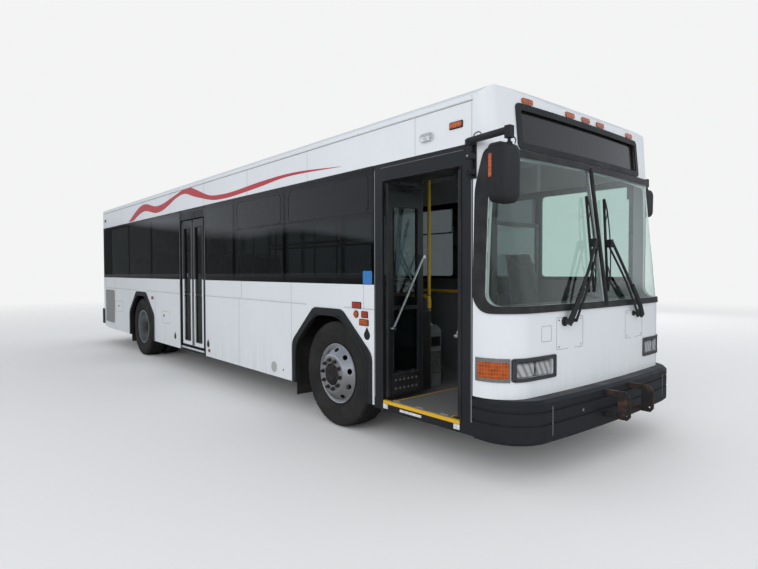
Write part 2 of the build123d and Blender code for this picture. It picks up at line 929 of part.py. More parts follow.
engine_door_half = 930
engine_door_foot_z = tail_foot_z + 16
engine_door_head_z = 1530
engine_door_thickness = 40

with BuildPart() as rear_panel:
    add(tail_block(tail_foot_z))
    add(tail_block(tail_foot_z - 1, tail_wall), mode=Mode.SUBTRACT)
    with BuildSketch(Plane.YZ.offset(at(body_rear_reach) - 10)):
        rectangle(
            -engine_door_half - door_gap, engine_door_half + door_gap,
            engine_door_foot_z - door_gap, engine_door_head_z + door_gap,
        )
    extrude(amount=tail_wall + 40, mode=Mode.SUBTRACT)
save(rear_panel, "rear_panel")

louver_count = 10
louver_pitch = 38
louver_slot = 20
louver_columns = (-560, 0, 560)
louver_half = 245
with BuildPart() as engine_door:
    box(
        at(body_rear_reach), at(body_rear_reach) + engine_door_thickness,
        -engine_door_half, engine_door_half, engine_door_foot_z, engine_door_head_z,
    )
    for row in range(louver_count):
        z = engine_door_foot_z + 90 + row * louver_pitch
        for y in louver_columns:
            box(
                at(body_rear_reach), at(body_rear_reach) + engine_door_thickness,
                y - louver_half, y + louver_half, z, z + louver_slot, mode=Mode.SUBTRACT,
            )
save(engine_door, "engine_door")


# Bumpers and the bicycle rack's brackets

bumper_foot_z = 300
bumper_wall = 60
bumper_radius = 330
groove_depth = 9
groove_height = 18
bumper_shelf = 34
bumper_bevel = 24


def bumper_block(foot_z, head_z, inset=0):
    return nose_block((bumper_reach, foot_z, bumper_radius), (bumper_reach, head_z, bumper_radius), inset)


def bumper_lip(face_z, edge_z):
    """The bevelled lip between the bumper's face and its top or bottom edge."""
    levels = sorted(((face_z, 0), (edge_z, bumper_bevel)))
    with BuildPart() as lip:
        for z, inset in levels:
            add(nose(bumper_reach, z, bumper_radius, inset))
        loft()
    return lip.part


def bumper_groove(z):
    """A ring that cuts a shallow groove round the bumper."""
    with BuildPart() as groove:
        add(bumper_block(z, z + groove_height, -5))
        add(bumper_block(z, z + groove_height, groove_depth), mode=Mode.SUBTRACT)
    return groove.part


with BuildPart() as front_bumper:
    hollow_top = mask_foot_z - bumper_shelf
    add(bumper_block(bumper_foot_z + bumper_bevel, mask_foot_z - bumper_bevel))
    add(bumper_lip(mask_foot_z - bumper_bevel, mask_foot_z))
    add(bumper_lip(bumper_foot_z + bumper_bevel, bumper_foot_z))
    box(
        at(mask_side_reach) - 2 * bumper_bevel, at(mask_side_reach), -half, half,
        0, mask_foot_z, mode=Mode.SUBTRACT,
    )
    add(bumper_block(bumper_foot_z - 10, hollow_top, bumper_wall), mode=Mode.SUBTRACT)
    mask_hollow = nose_block(
        (mask_reach, hollow_top - 10, corner_radius), (mask_reach, mask_foot_z + 10, corner_radius), nose_wall
    )
    add(mask_hollow, mode=Mode.SUBTRACT)
    for z in (438, 532):
        add(bumper_groove(z), mode=Mode.SUBTRACT)
save(front_bumper, "front_bumper")

rear_bumper_foot_z = 410
rear_bumper_radius = 150
with BuildPart() as rear_bumper:
    back = at(rear_bumper_reach)
    front = at(tail_reach)
    with BuildSketch(Plane.XY.offset(rear_bumper_foot_z)) as plan:
        rectangle(back, front, -half, half)
        fillet(plan.vertices().group_by(Axis.X)[0], rear_bumper_radius)
    extrude(amount=tail_foot_z - rear_bumper_foot_z)
    box(
        back + bumper_wall, front, -half + bumper_wall, half - bumper_wall,
        rear_bumper_foot_z, tail_foot_z - 30, mode=Mode.SUBTRACT,
    )
    box(
        at(body_rear_reach) + tail_wall, front, -half + bumper_wall, half - bumper_wall,
        rear_bumper_foot_z, tail_foot_z, mode=Mode.SUBTRACT,
    )
save(rear_bumper, "rear_bumper")

bracket_y = 205
bracket_plate = 12
bracket_tube = 21
bracket_low_z = 372
bracket_high_z = 598
bracket_bore = 8.5
bracket_bores = (412, 556)
with BuildPart() as rack_brackets:
    root = at(bumper_reach) - 6
    for side in (-1, 1):
        y0 = side * bracket_y
        with BuildSketch(Plane.XZ.offset(-y0 + bracket_plate / 2)):
            with BuildLine():
                Polyline(
                    (at(rack_reach) - 100, bracket_low_z),
                    (at(rack_reach) - 26, bracket_low_z),
                    (at(rack_reach), bracket_low_z + 30),
                    (at(rack_reach), bracket_high_z - 50),
                    (at(rack_reach) - 36, bracket_high_z),
                    (at(rack_reach) - 100, bracket_high_z),
                    close=True,
                )
            make_face()
            for z in bracket_bores:
                with Locations((at(rack_reach) - 34, z)):
                    Circle(bracket_bore, mode=Mode.SUBTRACT)
        extrude(amount=-bracket_plate)
        for z in (bracket_low_z + 24, bracket_high_z - 24):
            box(
                root, at(rack_reach) - 100, y0 - bracket_tube, y0 + bracket_tube,
                z - bracket_tube, z + bracket_tube,
            )
    box(
        at(rack_reach) - 128, at(rack_reach) - 100, -bracket_y + bracket_tube, bracket_y - bracket_tube,
        bracket_low_z + 10, bracket_low_z + 38,
    )
    add(bumper_block(bumper_foot_z, mask_foot_z), mode=Mode.SUBTRACT)
save(rack_brackets, "rack_brackets")


# Lamps

lamp_proud = 12


def nose_skin(low, high):
    """A thin skin on the outside of the nose."""
    with BuildPart() as skin:
        add(nose_block(low, high, -lamp_proud))
        add(nose_block(low, high), mode=Mode.SUBTRACT)
    return skin.part


def nose_pad(y0, y1, z0, z1, low, high, radius=18):
    """A shallow pad that follows the nose's outside, seen from the front as a rounded rectangle."""
    skin = nose_skin(low, high)
    with BuildPart() as pad:
        add(skin)
        with BuildSketch(Plane.YZ.offset(at(mask_side_reach))) as outline:
            rectangle(y0, y1, z0, z1)
            fillet(outline.vertices(), radius)
        extrude(amount=600, mode=Mode.INTERSECT)
    return pad.part


lamp_foot_z = 746
lamp_head_z = 918
lamp_rim = 26
lamp_depth = 34
lens_proud = 7
lens_inset = 34
headlamp_inner_y = 735
headlamp_outer_y = 1186
turn_lamp_inner_y = 1200
turn_lamp_back = 1823
# Columns: inner y, outer y of each square lens
lens_table = ((795, 962), (992, 1150))


def nose_window(y0, y1, z0, z1, radius):
    """A bar along X whose front view is a rounded rectangle, on both sides of the nose."""
    with BuildPart() as bar:
        with BuildSketch(Plane.YZ.offset(at(mask_side_reach))):
            for side in (-1, 1):
                add(rounded(*sorted((side * y0, side * y1)), z0, z1, radius))
        extrude(amount=600)
    return bar.part


headlamp_window = nose_window(
    headlamp_inner_y + lamp_rim, headlamp_outer_y - lamp_rim,
    lamp_foot_z + lamp_rim, lamp_head_z - lamp_rim, 12,
)
turn_lamp_window = nose_window(
    turn_lamp_inner_y + lamp_rim / 2, half + 60, lamp_foot_z + lamp_rim, lamp_head_z - lamp_rim, 12
)

with BuildPart() as front_mask:
    add(nose_block(mask_low, mask_high))
    add(nose_block(mask_low, mask_high, nose_wall), mode=Mode.SUBTRACT)
    add(headlamp_window, mode=Mode.SUBTRACT)
save(front_mask, "front_mask")

with BuildPart() as lamp_pans:
    add(nose_block(mask_low, mask_high, lamp_depth))
    add(nose_block(mask_low, mask_high, nose_wall), mode=Mode.SUBTRACT)
    add(headlamp_window, mode=Mode.INTERSECT)

with BuildPart() as lamp_lenses:
    add(nose_block(mask_low, mask_high, 2))
    add(nose_block(mask_low, mask_high, lamp_depth), mode=Mode.SUBTRACT)
    with BuildSketch(Plane.YZ.offset(at(mask_side_reach))):
        for side in (-1, 1):
            for y0, y1 in lens_table:
                lens = (*sorted((side * y0, side * y1)), lamp_foot_z + lens_inset, lamp_head_z - lens_inset)
                add(rounded(*lens, 16))
    extrude(amount=600, mode=Mode.INTERSECT)

# Chrome bezels round the headlamps and the turn signals, and the headlamps' pans and lenses
with BuildPart() as headlamps:
    for side in (-1, 1):
        bezel = (side * headlamp_inner_y, side * headlamp_outer_y, lamp_foot_z, lamp_head_z)
        add(nose_pad(*bezel, mask_low, mask_high))
    add(headlamp_window, mode=Mode.SUBTRACT)
    add(lamp_pans.part)
    add(lamp_lenses.part)
save(headlamps, "headlamps")

with BuildPart() as lens_swell:
    add(nose_block(mask_low, mask_high, -lamp_proud - lens_proud))
    add(nose_block(mask_low, mask_high, -lamp_proud), mode=Mode.SUBTRACT)
    add(turn_lamp_window, mode=Mode.INTERSECT)
    box(at(turn_lamp_back + lamp_rim), at(bumper_reach), -half - 60, half + 60, 0, 2000, mode=Mode.INTERSECT)

with BuildPart() as turn_signals:
    add(nose_skin(mask_low, mask_high))
    with BuildSketch(Plane.YZ.offset(at(turn_lamp_back))):
        for side in (-1, 1):
            rectangle(side * turn_lamp_inner_y, side * (half + 50), lamp_foot_z, lamp_head_z)
    extrude(amount=600, mode=Mode.INTERSECT)
    add(lens_swell.part)
save(turn_signals, "turn_signals")

marker_places = (-834, -250, 0, 250, 834)
marker_width = 130
marker_foot_z = 2822
marker_height = 42
with BuildPart() as marker_lamps:
    for y in marker_places:
        edges = (y - marker_width / 2, y + marker_width / 2, marker_foot_z, marker_foot_z + marker_height)
        add(nose_pad(*edges, cap_low, cap_high, 14))
save(marker_lamps, "marker_lamps")

# Columns: y, z, radius
tail_lamp_table = (
    (1075, 800, 50), (1075, 930, 50), (1075, 1060, 50), (1075, 1190, 50),
    (1060, 2700, 50), (1060, 1700, 50),
)
tail_lamp_proud = 22
with BuildPart() as tail_lamps:
    for side in (-1, 1):
        for y, z, radius in tail_lamp_table:
            with BuildSketch(Plane.YZ.offset(at(body_rear_reach))):
                with Locations((side * y, z)):
                    Circle(radius)
            extrude(amount=-tail_lamp_proud)
    for y in (-250, 0, 250):
        box(
            at(body_rear_reach) - tail_lamp_proud, at(body_rear_reach),
            y - marker_width / 2, y + marker_width / 2, 2740, 2784,
        )
save(tail_lamps, "tail_lamps")


# Doorways. Each leaf hangs from an arm that turns about a pole inside the doorway, so that the leaf
# swings from across the doorway to square beside its post, with its inner face to the riders.

operator_foot_z = 2345
operator_depth = 270
operator_inset = 20
arm_z = 2270
arm_width = 44
arm_thickness = 26
boss_radius = 22
boss_top_z = 2395
boss_clearance = 5
leaf_foot_z = threshold_z + 30
leaf_head_z = door_head_z - 12
open_gap = leaf_thickness / 2 + door_gap
meeting_gap = door_gap / 2
post_gap = 14


def leaf_sizes(rear, front, post):
    """A leaf's distance from its pole, and half its width, so that it fits the doorway open and closed."""
    room = (front - rear) / 2 - post
    swing = (room + post_gap - meeting_gap - 2 * open_gap) / 2
    return swing, room - open_gap - swing - meeting_gap


def pole(rear, front, post, side):
    """Where the arm of one leaf turns, in X and Y: side is -1 for the rear leaf, 1 for the front leaf."""
    swing, reach = leaf_sizes(rear, front, post)
    x = at(rear) + post + open_gap + swing if side < 0 else at(front) - post - open_gap - swing
    return x, -half + leaf_inset + leaf_thickness / 2 + swing


front_doorway = (front_door_rear, front_door_front, front_door_post)
rear_doorway = (rear_door_rear, rear_door_front, rear_door_post)


def door_frame(rear, front, post, foot_z):
    """Posts, header and sill of one doorway, with the door operators' box over it."""
    x0 = at(rear) + post
    x1 = at(front) - post
    with BuildPart() as frame:
        with BuildSketch(wall_plane(-1)):
            rectangle(at(rear), at(front), foot_z, band_top_z)
            rectangle(x0, x1, threshold_z, door_head_z, mode=Mode.SUBTRACT)
        extrude(amount=-wall)
        # The posts' inner edges are cut back, where the leaves swing past them
        with BuildSketch(Plane.XY.offset(threshold_z)):
            for x in (x0, x1):
                with BuildLine():
                    Polyline(
                        (x - post_chamfer, -inner + 1), (x + post_chamfer, -inner + 1),
                        (x, -inner - post_chamfer), close=True,
                    )
                make_face()
        extrude(amount=door_head_z - threshold_z, mode=Mode.SUBTRACT)
        box(
            x0 + operator_inset, x1 - operator_inset, -inner, -inner + operator_depth,
            operator_foot_z, band_top_z,
        )
        for side in (-1, 1):
            x, y = pole(rear, front, post, side)
            with Locations((x, y, (operator_foot_z + boss_top_z + boss_clearance) / 2)):
                Cylinder(
                    boss_radius + boss_clearance, boss_top_z + boss_clearance - operator_foot_z,
                    mode=Mode.SUBTRACT,
                )
    return frame.part


ramp_x = at((front_door_rear + front_door_front) / 2)
ramp_bed_z = ramp_hinge_z - ramp_hinge_radius - ramp_thickness - door_gap
with BuildPart() as door_frames:
    add(door_frame(*front_doorway, door_foot_z))
    add(door_frame(*rear_doorway, skirt_z))
    # The folded ramp lies in a slot of the front sill
    box(
        ramp_x - ramp_width / 2 - door_gap, ramp_x + ramp_width / 2 + door_gap,
        -half, -half + wall, ramp_bed_z, threshold_z, mode=Mode.SUBTRACT,
    )
save(door_frames, "door_frames")


def leaf(way, side, stile, rails):
    """A closed door leaf with its arm, drawn about its pole at the origin.

    rails gives the foot and head of each solid stretch between the stiles, from the bottom up.
    """
    swing, reach = leaf_sizes(*way)
    outer_face = Plane.XZ.offset(swing + leaf_thickness / 2)
    inner_y = -swing + leaf_thickness / 2
    with BuildPart() as panel:
        with BuildSketch(outer_face):
            rectangle(-reach, reach, rails[0][0], rails[-1][1])
            for below, above in zip(rails[:-1], rails[1:]):
                pane = rounded(-reach + stile, reach - stile, below[1], above[0], leaf_glass_radius)
                add(pane, mode=Mode.SUBTRACT)
        extrude(amount=-leaf_thickness)
        middle = (glass_thickness - leaf_thickness) / 2
        with BuildSketch(outer_face.offset(middle)):
            pane_end = reach - stile / 2
            rectangle(-pane_end, pane_end, rails[0][1] - glass_lap, rails[-1][0] + glass_lap)
        extrude(amount=-glass_thickness)
        # The arm from the leaf to the pole, and its boss, which stands up into the operators' box
        box(-arm_width / 2, arm_width / 2, inner_y, 0, arm_z - arm_thickness / 2, arm_z + arm_thickness / 2)
        with Locations((0, 0, (arm_z - arm_thickness / 2 + boss_top_z) / 2)):
            Cylinder(boss_radius, boss_top_z - arm_z + arm_thickness / 2)
        # The grab bar climbs away from the leaf's meeting edge
        low = Vector(-side * (reach - stile / 2), inner_y + bar_standoff, bar_low_z)
        high = Vector(side * (reach - stile / 2), inner_y + bar_standoff, bar_high_z)
        with BuildSketch(Plane(origin=low, x_dir=(0, 1, 0), z_dir=high - low)):
            Circle(bar_radius)
        extrude(amount=(high - low).length)
        for end in (low, high):
            with BuildSketch(Plane.XZ.offset(-end.Y - bar_boss)):
                with Locations((end.X, end.Z)):
                    Circle(bar_boss)
            extrude(amount=bar_standoff + bar_boss + 2)
    return panel.part


leaf_glass_radius = 14
glass_lap = 20
bar_low_z = 1044
bar_high_z = 1679
bar_standoff = 38
bar_radius = 13
bar_boss = 16
front_stile = 66
rear_stile = 100
front_rails = ((leaf_foot_z, 640), (1205, 1235), (2120, leaf_head_z))
rear_rails = ((leaf_foot_z, 500), (1190, 1220), (2200, leaf_head_z))
# Columns: name, doorway, side, angle at rest, stile width, rails
leaf_table = (
    ("front_door_leaf_rear", front_doorway, -1, -90, front_stile, front_rails),
    ("front_door_leaf_front", front_doorway, 1, 90, front_stile, front_rails),
    ("rear_door_leaf_rear", rear_doorway, -1, 0, rear_stile, rear_rails),
    ("rear_door_leaf_front", rear_doorway, 1, 0, rear_stile, rear_rails),
)
for name, way, side, angle, stile, rails in leaf_table:
    closed_leaf = leaf(way, side, stile, rails)
    with BuildPart() as door_leaf:
        with Locations(Location((*pole(*way, side), 0), (0, 0, angle))):
            add(closed_leaf)
    save(door_leaf, name)

with BuildPart() as boarding_ramp:
    hinge_y = -half + 12
    box(
        ramp_x - ramp_width / 2, ramp_x + ramp_width / 2, hinge_y, hinge_y + ramp_length,
        ramp_hinge_z - ramp_hinge_radius - ramp_thickness, ramp_hinge_z - ramp_hinge_radius,
    )
    for x in (ramp_x - ramp_width / 2 + 60, ramp_x, ramp_x + ramp_width / 2 - 60):
        with BuildSketch(Plane.YZ.offset(x - 40)):
            with Locations((hinge_y, ramp_hinge_z)):
                Circle(ramp_hinge_radius)
            rectangle(
                hinge_y, hinge_y + ramp_hinge_radius,
                ramp_hinge_z - ramp_hinge_radius, ramp_hinge_z,
            )
        extrude(amount=80)
save(boarding_ramp, "boarding_ramp")


# Arch trims

with BuildPart() as arch_trims:
    for side in (-1, 1):
        for axle_x, reaches in AXLES:
            with BuildSketch(wall_plane(side)):
                add(arch(axle_x, reaches, -arch_trim_width, skirt_z))
                add(arch(axle_x, reaches, 0, skirt_z - 10), mode=Mode.SUBTRACT)
            extrude(amount=-side * arch_trim_proud)
save(arch_trims, "arch_trims")


# Mirrors and wipers

mirror_depth = 105
mirror_corner = 55
mirror_edge = 34
mirror_glass_depth = 8
mirror_rim = 14
mirror_width = 250
mirror_tube = 34
mirror_bracket = 50
mirror_bend = 38


def mirror(side, reach, out, z, height, arm_lift, bracket):
    """A mirror whose head is at the given reach, distance out and height, on an arm from its bracket."""
    bracket_rear, bracket_front, bracket_foot, bracket_head = bracket
    root_reach = (bracket_rear + bracket_front) / 2
    head_top = z + height / 2
    arm = (
        (at(root_reach), side * (half + mirror_bracket / 2), bracket_head - mirror_tube),
        (at(root_reach), side * (half + mirror_bracket + 20), head_top + arm_lift),
        (at(reach), side * out, head_top + arm_lift),
        (at(reach), side * out, head_top - mirror_edge),
    )
    with BuildPart() as head:
        with BuildSketch(Plane.YZ.offset(at(reach) - mirror_depth / 2)):
            with Locations((side * out, z)):
                RectangleRounded(mirror_width, height, mirror_corner)
        extrude(amount=mirror_depth)
        fillet(head.faces().sort_by(Axis.X)[-1].edges(), mirror_edge)
        # The glass lies in a recess of the head's back
        with BuildSketch(Plane.YZ.offset(at(reach) - mirror_depth / 2)):
            with Locations((side * out, z)):
                glass = (mirror_width - 2 * mirror_rim, height - 2 * mirror_rim)
                RectangleRounded(*glass, mirror_corner - mirror_rim)
        extrude(amount=mirror_glass_depth, mode=Mode.SUBTRACT)
    with BuildPart() as piece:
        box(
            at(bracket_rear), at(bracket_front), side * half, side * (half + mirror_bracket),
            bracket_foot, bracket_head,
        )
        with BuildLine() as path:
            FilletPolyline(*arm, radius=mirror_bend)
        with BuildSketch(Plane(origin=path.line @ 0, z_dir=path.line % 0)):
            RectangleRounded(mirror_tube, mirror_tube, 8)
        sweep(path=path.line)
        add(head.part)
    return piece.part


# Columns: side, head's reach, y, z and height, the arm's lift over the head,
# and the bracket's rear, front, foot and head
mirror_table = (
    (-1, 2190, 1450, 2178, 390, 217, (1716, 1786, 2225, 2570)),
    (1, 1800, 1500, 2262, 290, 73, (1700, 1770, 2320, 2460)),
)
with BuildPart() as mirrors:
    for row in mirror_table:
        add(mirror(*row))
save(mirrors, "mirrors")

# Columns: pivot y, blade y at the bottom, blade y at the top
wiper_table = ((-560, -60, -95), (560, 60, 95))
with BuildPart() as wipers:
    for pivot, low_y, high_y in wiper_table:
        with Locations((at(mask_reach) + 22, pivot, 1168)):
            Box(60, 46, 46)
        for lift in (0, 34):
            start = Vector(at(mask_reach) + 44, pivot, 1166 + lift / 2)
            end = Vector(at(mask_reach) + 6, low_y + (high_y - low_y) / 2, 1560 + lift)
            with BuildSketch(Plane(origin=start, z_dir=end - start)):
                Circle(6)
            extrude(amount=(end - start).length)
        start = Vector(at(mask_reach) + 14, low_y, 1330)
        end = Vector(at(mask_reach) - 44, high_y, 1960)
        with BuildSketch(Plane(origin=start, z_dir=end - start)):
            Rectangle(34, 16)
        extrude(amount=(end - start).length)
save(wipers, "wipers")


# Interior

seat_width = 420
seat_pair_gap = 20
seat_depth = 430
seat_height = 440
seat_back = 560
seat_recline = 70
seat_rise = 20
seat_shell = 34
seat_bend = 90
seat_wall_gap = 30
seat_beam = 50
seat_beam_back = 150
seat_leg_y = 700
seat_pair = 2 * seat_width + seat_pair_gap
seat_outer_y = half - wall - seat_wall_gap
seat_inner_y = seat_outer_y - seat_pair
# Columns: reach, side, floor height under the riders' feet, height under the leg
seat_table = (
    (-1210, -1, floor_z, floor_z), (-1950, -1, floor_z, floor_z), (-2750, -1, floor_z, floor_z),
    (-1210, 1, floor_z, floor_z), (-1950, 1, floor_z, floor_z),
    (-2750, 1, floor_z, floor_z), (-3550, 1, floor_z, floor_z),
    (-5300, -1, rear_floor_z, rear_floor_z), (-6050, -1, rear_floor_z, house_top_z),
    (-6750, -1, rear_floor_z, house_top_z),
    (-5300, 1, rear_floor_z, rear_floor_z), (-6050, 1, rear_floor_z, house_top_z),
    (-6750, 1, rear_floor_z, house_top_z),
)


def seat_side_view():
    """The outline of a seat's shell from the side, with the corner of its inner face at the origin."""
    with BuildSketch() as outline:
        with BuildLine():
            points = (
                (seat_depth, seat_rise), (0, 0), (-seat_recline, seat_back),
                (-seat_recline - seat_shell, seat_back), (-seat_shell, -seat_shell),
                (seat_depth, seat_rise - seat_shell),
            )
            FilletPolyline(*points, radius=(seat_bend, 12, 12, seat_bend))
            Line(points[-1], points[0])
        make_face()
    return outline.sketch


with BuildPart() as passenger_seats:
    for reach, side, base, foot in seat_table:
        knee = Plane(origin=(at(reach), 0, base + seat_height), x_dir=(1, 0, 0), z_dir=(0, -1, 0))
        for place in (0, 1):
            y0 = side * seat_inner_y + side * place * (seat_width + seat_pair_gap)
            with BuildSketch(knee.offset(-y0)):
                add(seat_side_view())
            extrude(amount=-side * seat_width)
        beam_z = base + seat_height - seat_shell
        box(
            at(reach + seat_beam_back), at(reach + seat_beam_back + seat_beam),
            side * (seat_inner_y + 40), side * seat_outer_y,
            beam_z - seat_beam, beam_z + seat_beam / 3,
        )
        box(
            at(reach + seat_beam_back), at(reach + seat_beam_back + seat_beam),
            side * seat_leg_y, side * (seat_leg_y + seat_beam),
            foot, beam_z - seat_beam / 2,
        )
save(passenger_seats, "passenger_seats")

partition_back = 655
partition_thickness = 30
partition_head_z = 2100
partition_sill_z = 1290
partition_frame = 45
partition_y = driver_platform_y + 4
partition_end_y = inner - 26
panel_y = 532
panel_thickness = 22
panel_rear = -700
panel_front = 600
pole_radius = 17
with BuildPart() as cabin_partitions:
    # The driver's partition has a pane in its upper half
    x0 = at(partition_back)
    with BuildSketch(Plane.YZ.offset(x0)):
        rectangle(partition_y, partition_end_y, floor_z, partition_head_z)
        rectangle(
            partition_y + partition_frame, partition_end_y - partition_frame,
            partition_sill_z, partition_head_z - partition_frame, mode=Mode.SUBTRACT,
        )
    extrude(amount=partition_thickness)
    box(
        x0 + (partition_thickness - glass_thickness) / 2, x0 + (partition_thickness + glass_thickness) / 2,
        partition_y + partition_frame / 2, partition_end_y - partition_frame / 2,
        partition_sill_z - partition_frame / 2, partition_head_z - partition_frame / 2,
    )
    # Low panels screen the front wheelhouses, with a rail along the top
    for side in (-1, 1):
        y0 = side * panel_y
        y1 = side * (panel_y + panel_thickness)
        box(at(panel_rear), at(panel_front), y0, y1, floor_z, partition_sill_z)
        with BuildSketch(Plane.YZ.offset(at(panel_rear))):
            with Locations(((y0 + y1) / 2, partition_sill_z + 10)):
                Circle(pole_radius)
        extrude(amount=panel_front - panel_rear)
save(cabin_partitions, "cabin_partitions")

farebox_reach = 490
farebox_y = -430
farebox_half = 94
farebox_head_z = 994
farebox_slope = 60
with BuildPart() as farebox:
    with BuildSketch(Plane.XZ.offset(-farebox_y + farebox_half)):
        with BuildLine():
            Polyline(
                (at(farebox_reach) - farebox_half, floor_z),
                (at(farebox_reach) - farebox_half, farebox_head_z),
                (at(farebox_reach) + 20, farebox_head_z),
                (at(farebox_reach) + farebox_half, farebox_head_z - farebox_slope),
                (at(farebox_reach) + farebox_half, floor_z),
                close=True,
            )
        make_face()
    extrude(amount=-2 * farebox_half)
    fillet(farebox.edges().filter_by(Axis.Z), 22)
save(farebox, "farebox")

driver_y = 760
with BuildPart() as driver_seat:
    x = at(880)
    box(x, x + 460, driver_y - 240, driver_y + 240, driver_floor_z + 380, driver_floor_z + 480)
    box(x - 110, x, driver_y - 235, driver_y + 235, driver_floor_z + 380, driver_floor_z + 1120)
    box(x + 100, x + 360, driver_y - 150, driver_y + 150, driver_floor_z, driver_floor_z + 380)
save(driver_seat, "driver_seat")

steering_tilt = 28
lean = math.radians(steering_tilt)
hub = Plane(
    origin=(at(1530), driver_y, 1330),
    x_dir=(math.cos(lean), 0, math.sin(lean)),
    z_dir=(-math.sin(lean), 0, math.cos(lean)),
)
with BuildPart() as steering_wheel:
    with Locations(hub):
        Torus(215, 15)
        Cylinder(50, 30)
    for turn in (0, 120, 240):
        with Locations(hub * Location((0, 0, 0), (0, 0, turn)) * Location((125, 0, 0))):
            Box(185, 34, 14)
save(steering_wheel, "steering_wheel")

with BuildPart() as steering_column:
    start = hub.origin - hub.z_dir * 21
    with BuildSketch(Plane(origin=start, z_dir=-hub.z_dir)):
        Circle(32)
    extrude(amount=430)
save(steering_column, "steering_column")

dash_top_z = 1260
dash_left_y = 1055
dash_right_y = 300
with BuildPart() as dashboard:
    # Section of the whole shelf, then of the driver's console
    with BuildSketch(Plane.XZ.offset(half - 240)):
        with BuildLine():
            Polyline(
                (at(1790), 660),
                (at(2020), 700),
                (at(2040), dash_top_z),
                (at(1880), dash_top_z + 30),
                (at(1790), dash_top_z - 30),
                close=True,
            )
        make_face()
    extrude(amount=-2 * (half - 240))
    with BuildSketch(Plane.XZ.offset(-dash_left_y)):
        with BuildLine():
            Polyline(
                (at(1800), dash_top_z - 20),
                (at(1640), dash_top_z - 90),
                (at(1660), dash_top_z - 160),
                (at(1800), 1000),
                close=True,
            )
        make_face()
    extrude(amount=dash_left_y - dash_right_y)
    add(steering_column.part, mode=Mode.SUBTRACT)
save(dashboard, "dashboard")

pole_y = seat_inner_y - pole_radius - 2
pole_top_z = roof_crown_z - roof_thickness - 12
# Columns: reach, y, foot
pole_table = (
    (farebox_reach, farebox_y, farebox_head_z), (560, pole_y, floor_z), (-1235, -pole_y, floor_z),
    (-1235, pole_y, floor_z), (-2775, -pole_y, floor_z), (-2775, pole_y, floor_z),
    (-3060, -560, floor_z), (-4200, -560, floor_z),
    (-4200, pole_y, floor_z), (-5325, -pole_y, rear_floor_z), (-5325, pole_y, rear_floor_z),
    (-6775, -pole_y, rear_floor_z), (-6775, pole_y, rear_floor_z),
)
grab_rail_z = 1930
grab_rail_gap = 2
# Columns: rear reach, front reach, side
grab_rail_table = ((-2900, -1100, -1), (-4300, -1100, 1), (-6900, -5200, -1), (-6900, -5200, 1))
with BuildPart() as stanchions:
    for reach, y, foot in pole_table:
        with Locations((at(reach), y, (foot + pole_top_z) / 2)):
            Cylinder(pole_radius, pole_top_z - foot)
    for rear, front, side in grab_rail_table:
        with BuildSketch(Plane.YZ.offset(at(rear))):
            with Locations((side * (pole_y + 2 * pole_radius + grab_rail_gap), grab_rail_z)):
                Circle(pole_radius)
        extrude(amount=front - rear)
save(stanchions, "stanchions")
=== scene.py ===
"""Looks of a low-floor city bus, in metres: +X forward, +Y to the driver's side, +Z up."""
import math
import random

import bmesh
import bpy
from mathutils import Matrix, Vector
from mathutils.bvhtree import BVHTree


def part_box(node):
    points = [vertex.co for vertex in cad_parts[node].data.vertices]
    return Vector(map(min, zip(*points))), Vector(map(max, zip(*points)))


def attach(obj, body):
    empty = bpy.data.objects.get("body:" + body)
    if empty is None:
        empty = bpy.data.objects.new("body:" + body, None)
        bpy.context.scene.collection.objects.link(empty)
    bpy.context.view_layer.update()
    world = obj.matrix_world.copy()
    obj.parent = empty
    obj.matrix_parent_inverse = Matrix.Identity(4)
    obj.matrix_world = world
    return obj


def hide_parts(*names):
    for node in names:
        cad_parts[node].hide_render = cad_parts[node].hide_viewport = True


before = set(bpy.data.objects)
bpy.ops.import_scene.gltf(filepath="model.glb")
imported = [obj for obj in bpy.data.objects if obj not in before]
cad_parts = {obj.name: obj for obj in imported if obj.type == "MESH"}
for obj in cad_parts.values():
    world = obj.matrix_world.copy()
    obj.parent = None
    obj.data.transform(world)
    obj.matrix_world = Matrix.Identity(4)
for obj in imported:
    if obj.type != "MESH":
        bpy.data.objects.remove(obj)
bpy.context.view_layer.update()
random.seed(7)


# Driving places, read from the CAD parts

CURB, STREET = -1, 1
BOTH_SIDES = ((CURB, "right"), (STREET, "left"))


def centre(name):
    """The middle of a CAD node's box."""
    low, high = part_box(name)
    return (low + high) / 2


front_axle = centre("front_rim_right")
rear_axle_x = centre("rear_rims_right").x
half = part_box("side_lower_left")[1].y
tyre_radius = front_axle.z


def at(reach):
    """X of a place measured forward from the front axle."""
    return front_axle.x + reach


# Materials

def shader(name, color, roughness, metallic=0.0, coat=0.0, transmission=0.0):
    """A new material and its parts: the node tree and the Principled shader."""
    material = bpy.data.materials.new(name)
    material.use_nodes = True
    tree = material.node_tree
    bsdf = tree.nodes["Principled BSDF"]
    bsdf.inputs["Base Color"].default_value = (*color, 1)
    for key, value in (
        ("Roughness", roughness), ("Metallic", metallic), ("Coat Weight", coat), ("Coat Roughness", 0.08),
        ("Transmission Weight", transmission), ("IOR", 1.45),
    ):
        bsdf.inputs[key].default_value = value
    return material, tree, bsdf


def feed(tree, socket, value):
    """Gives a socket a link or a value of its own. A colour gets its alpha."""
    if isinstance(value, bpy.types.NodeSocket):
        tree.links.new(value, socket)
    elif socket.type == "RGBA":
        socket.default_value = (*value, 1)
    else:
        socket.default_value = value


def node(tree, kind, **inputs):
    """A new node, its inputs fed."""
    made = tree.nodes.new(kind)
    for key, value in inputs.items():
        feed(tree, made.inputs[key.replace("_", " ")], value)
    return made


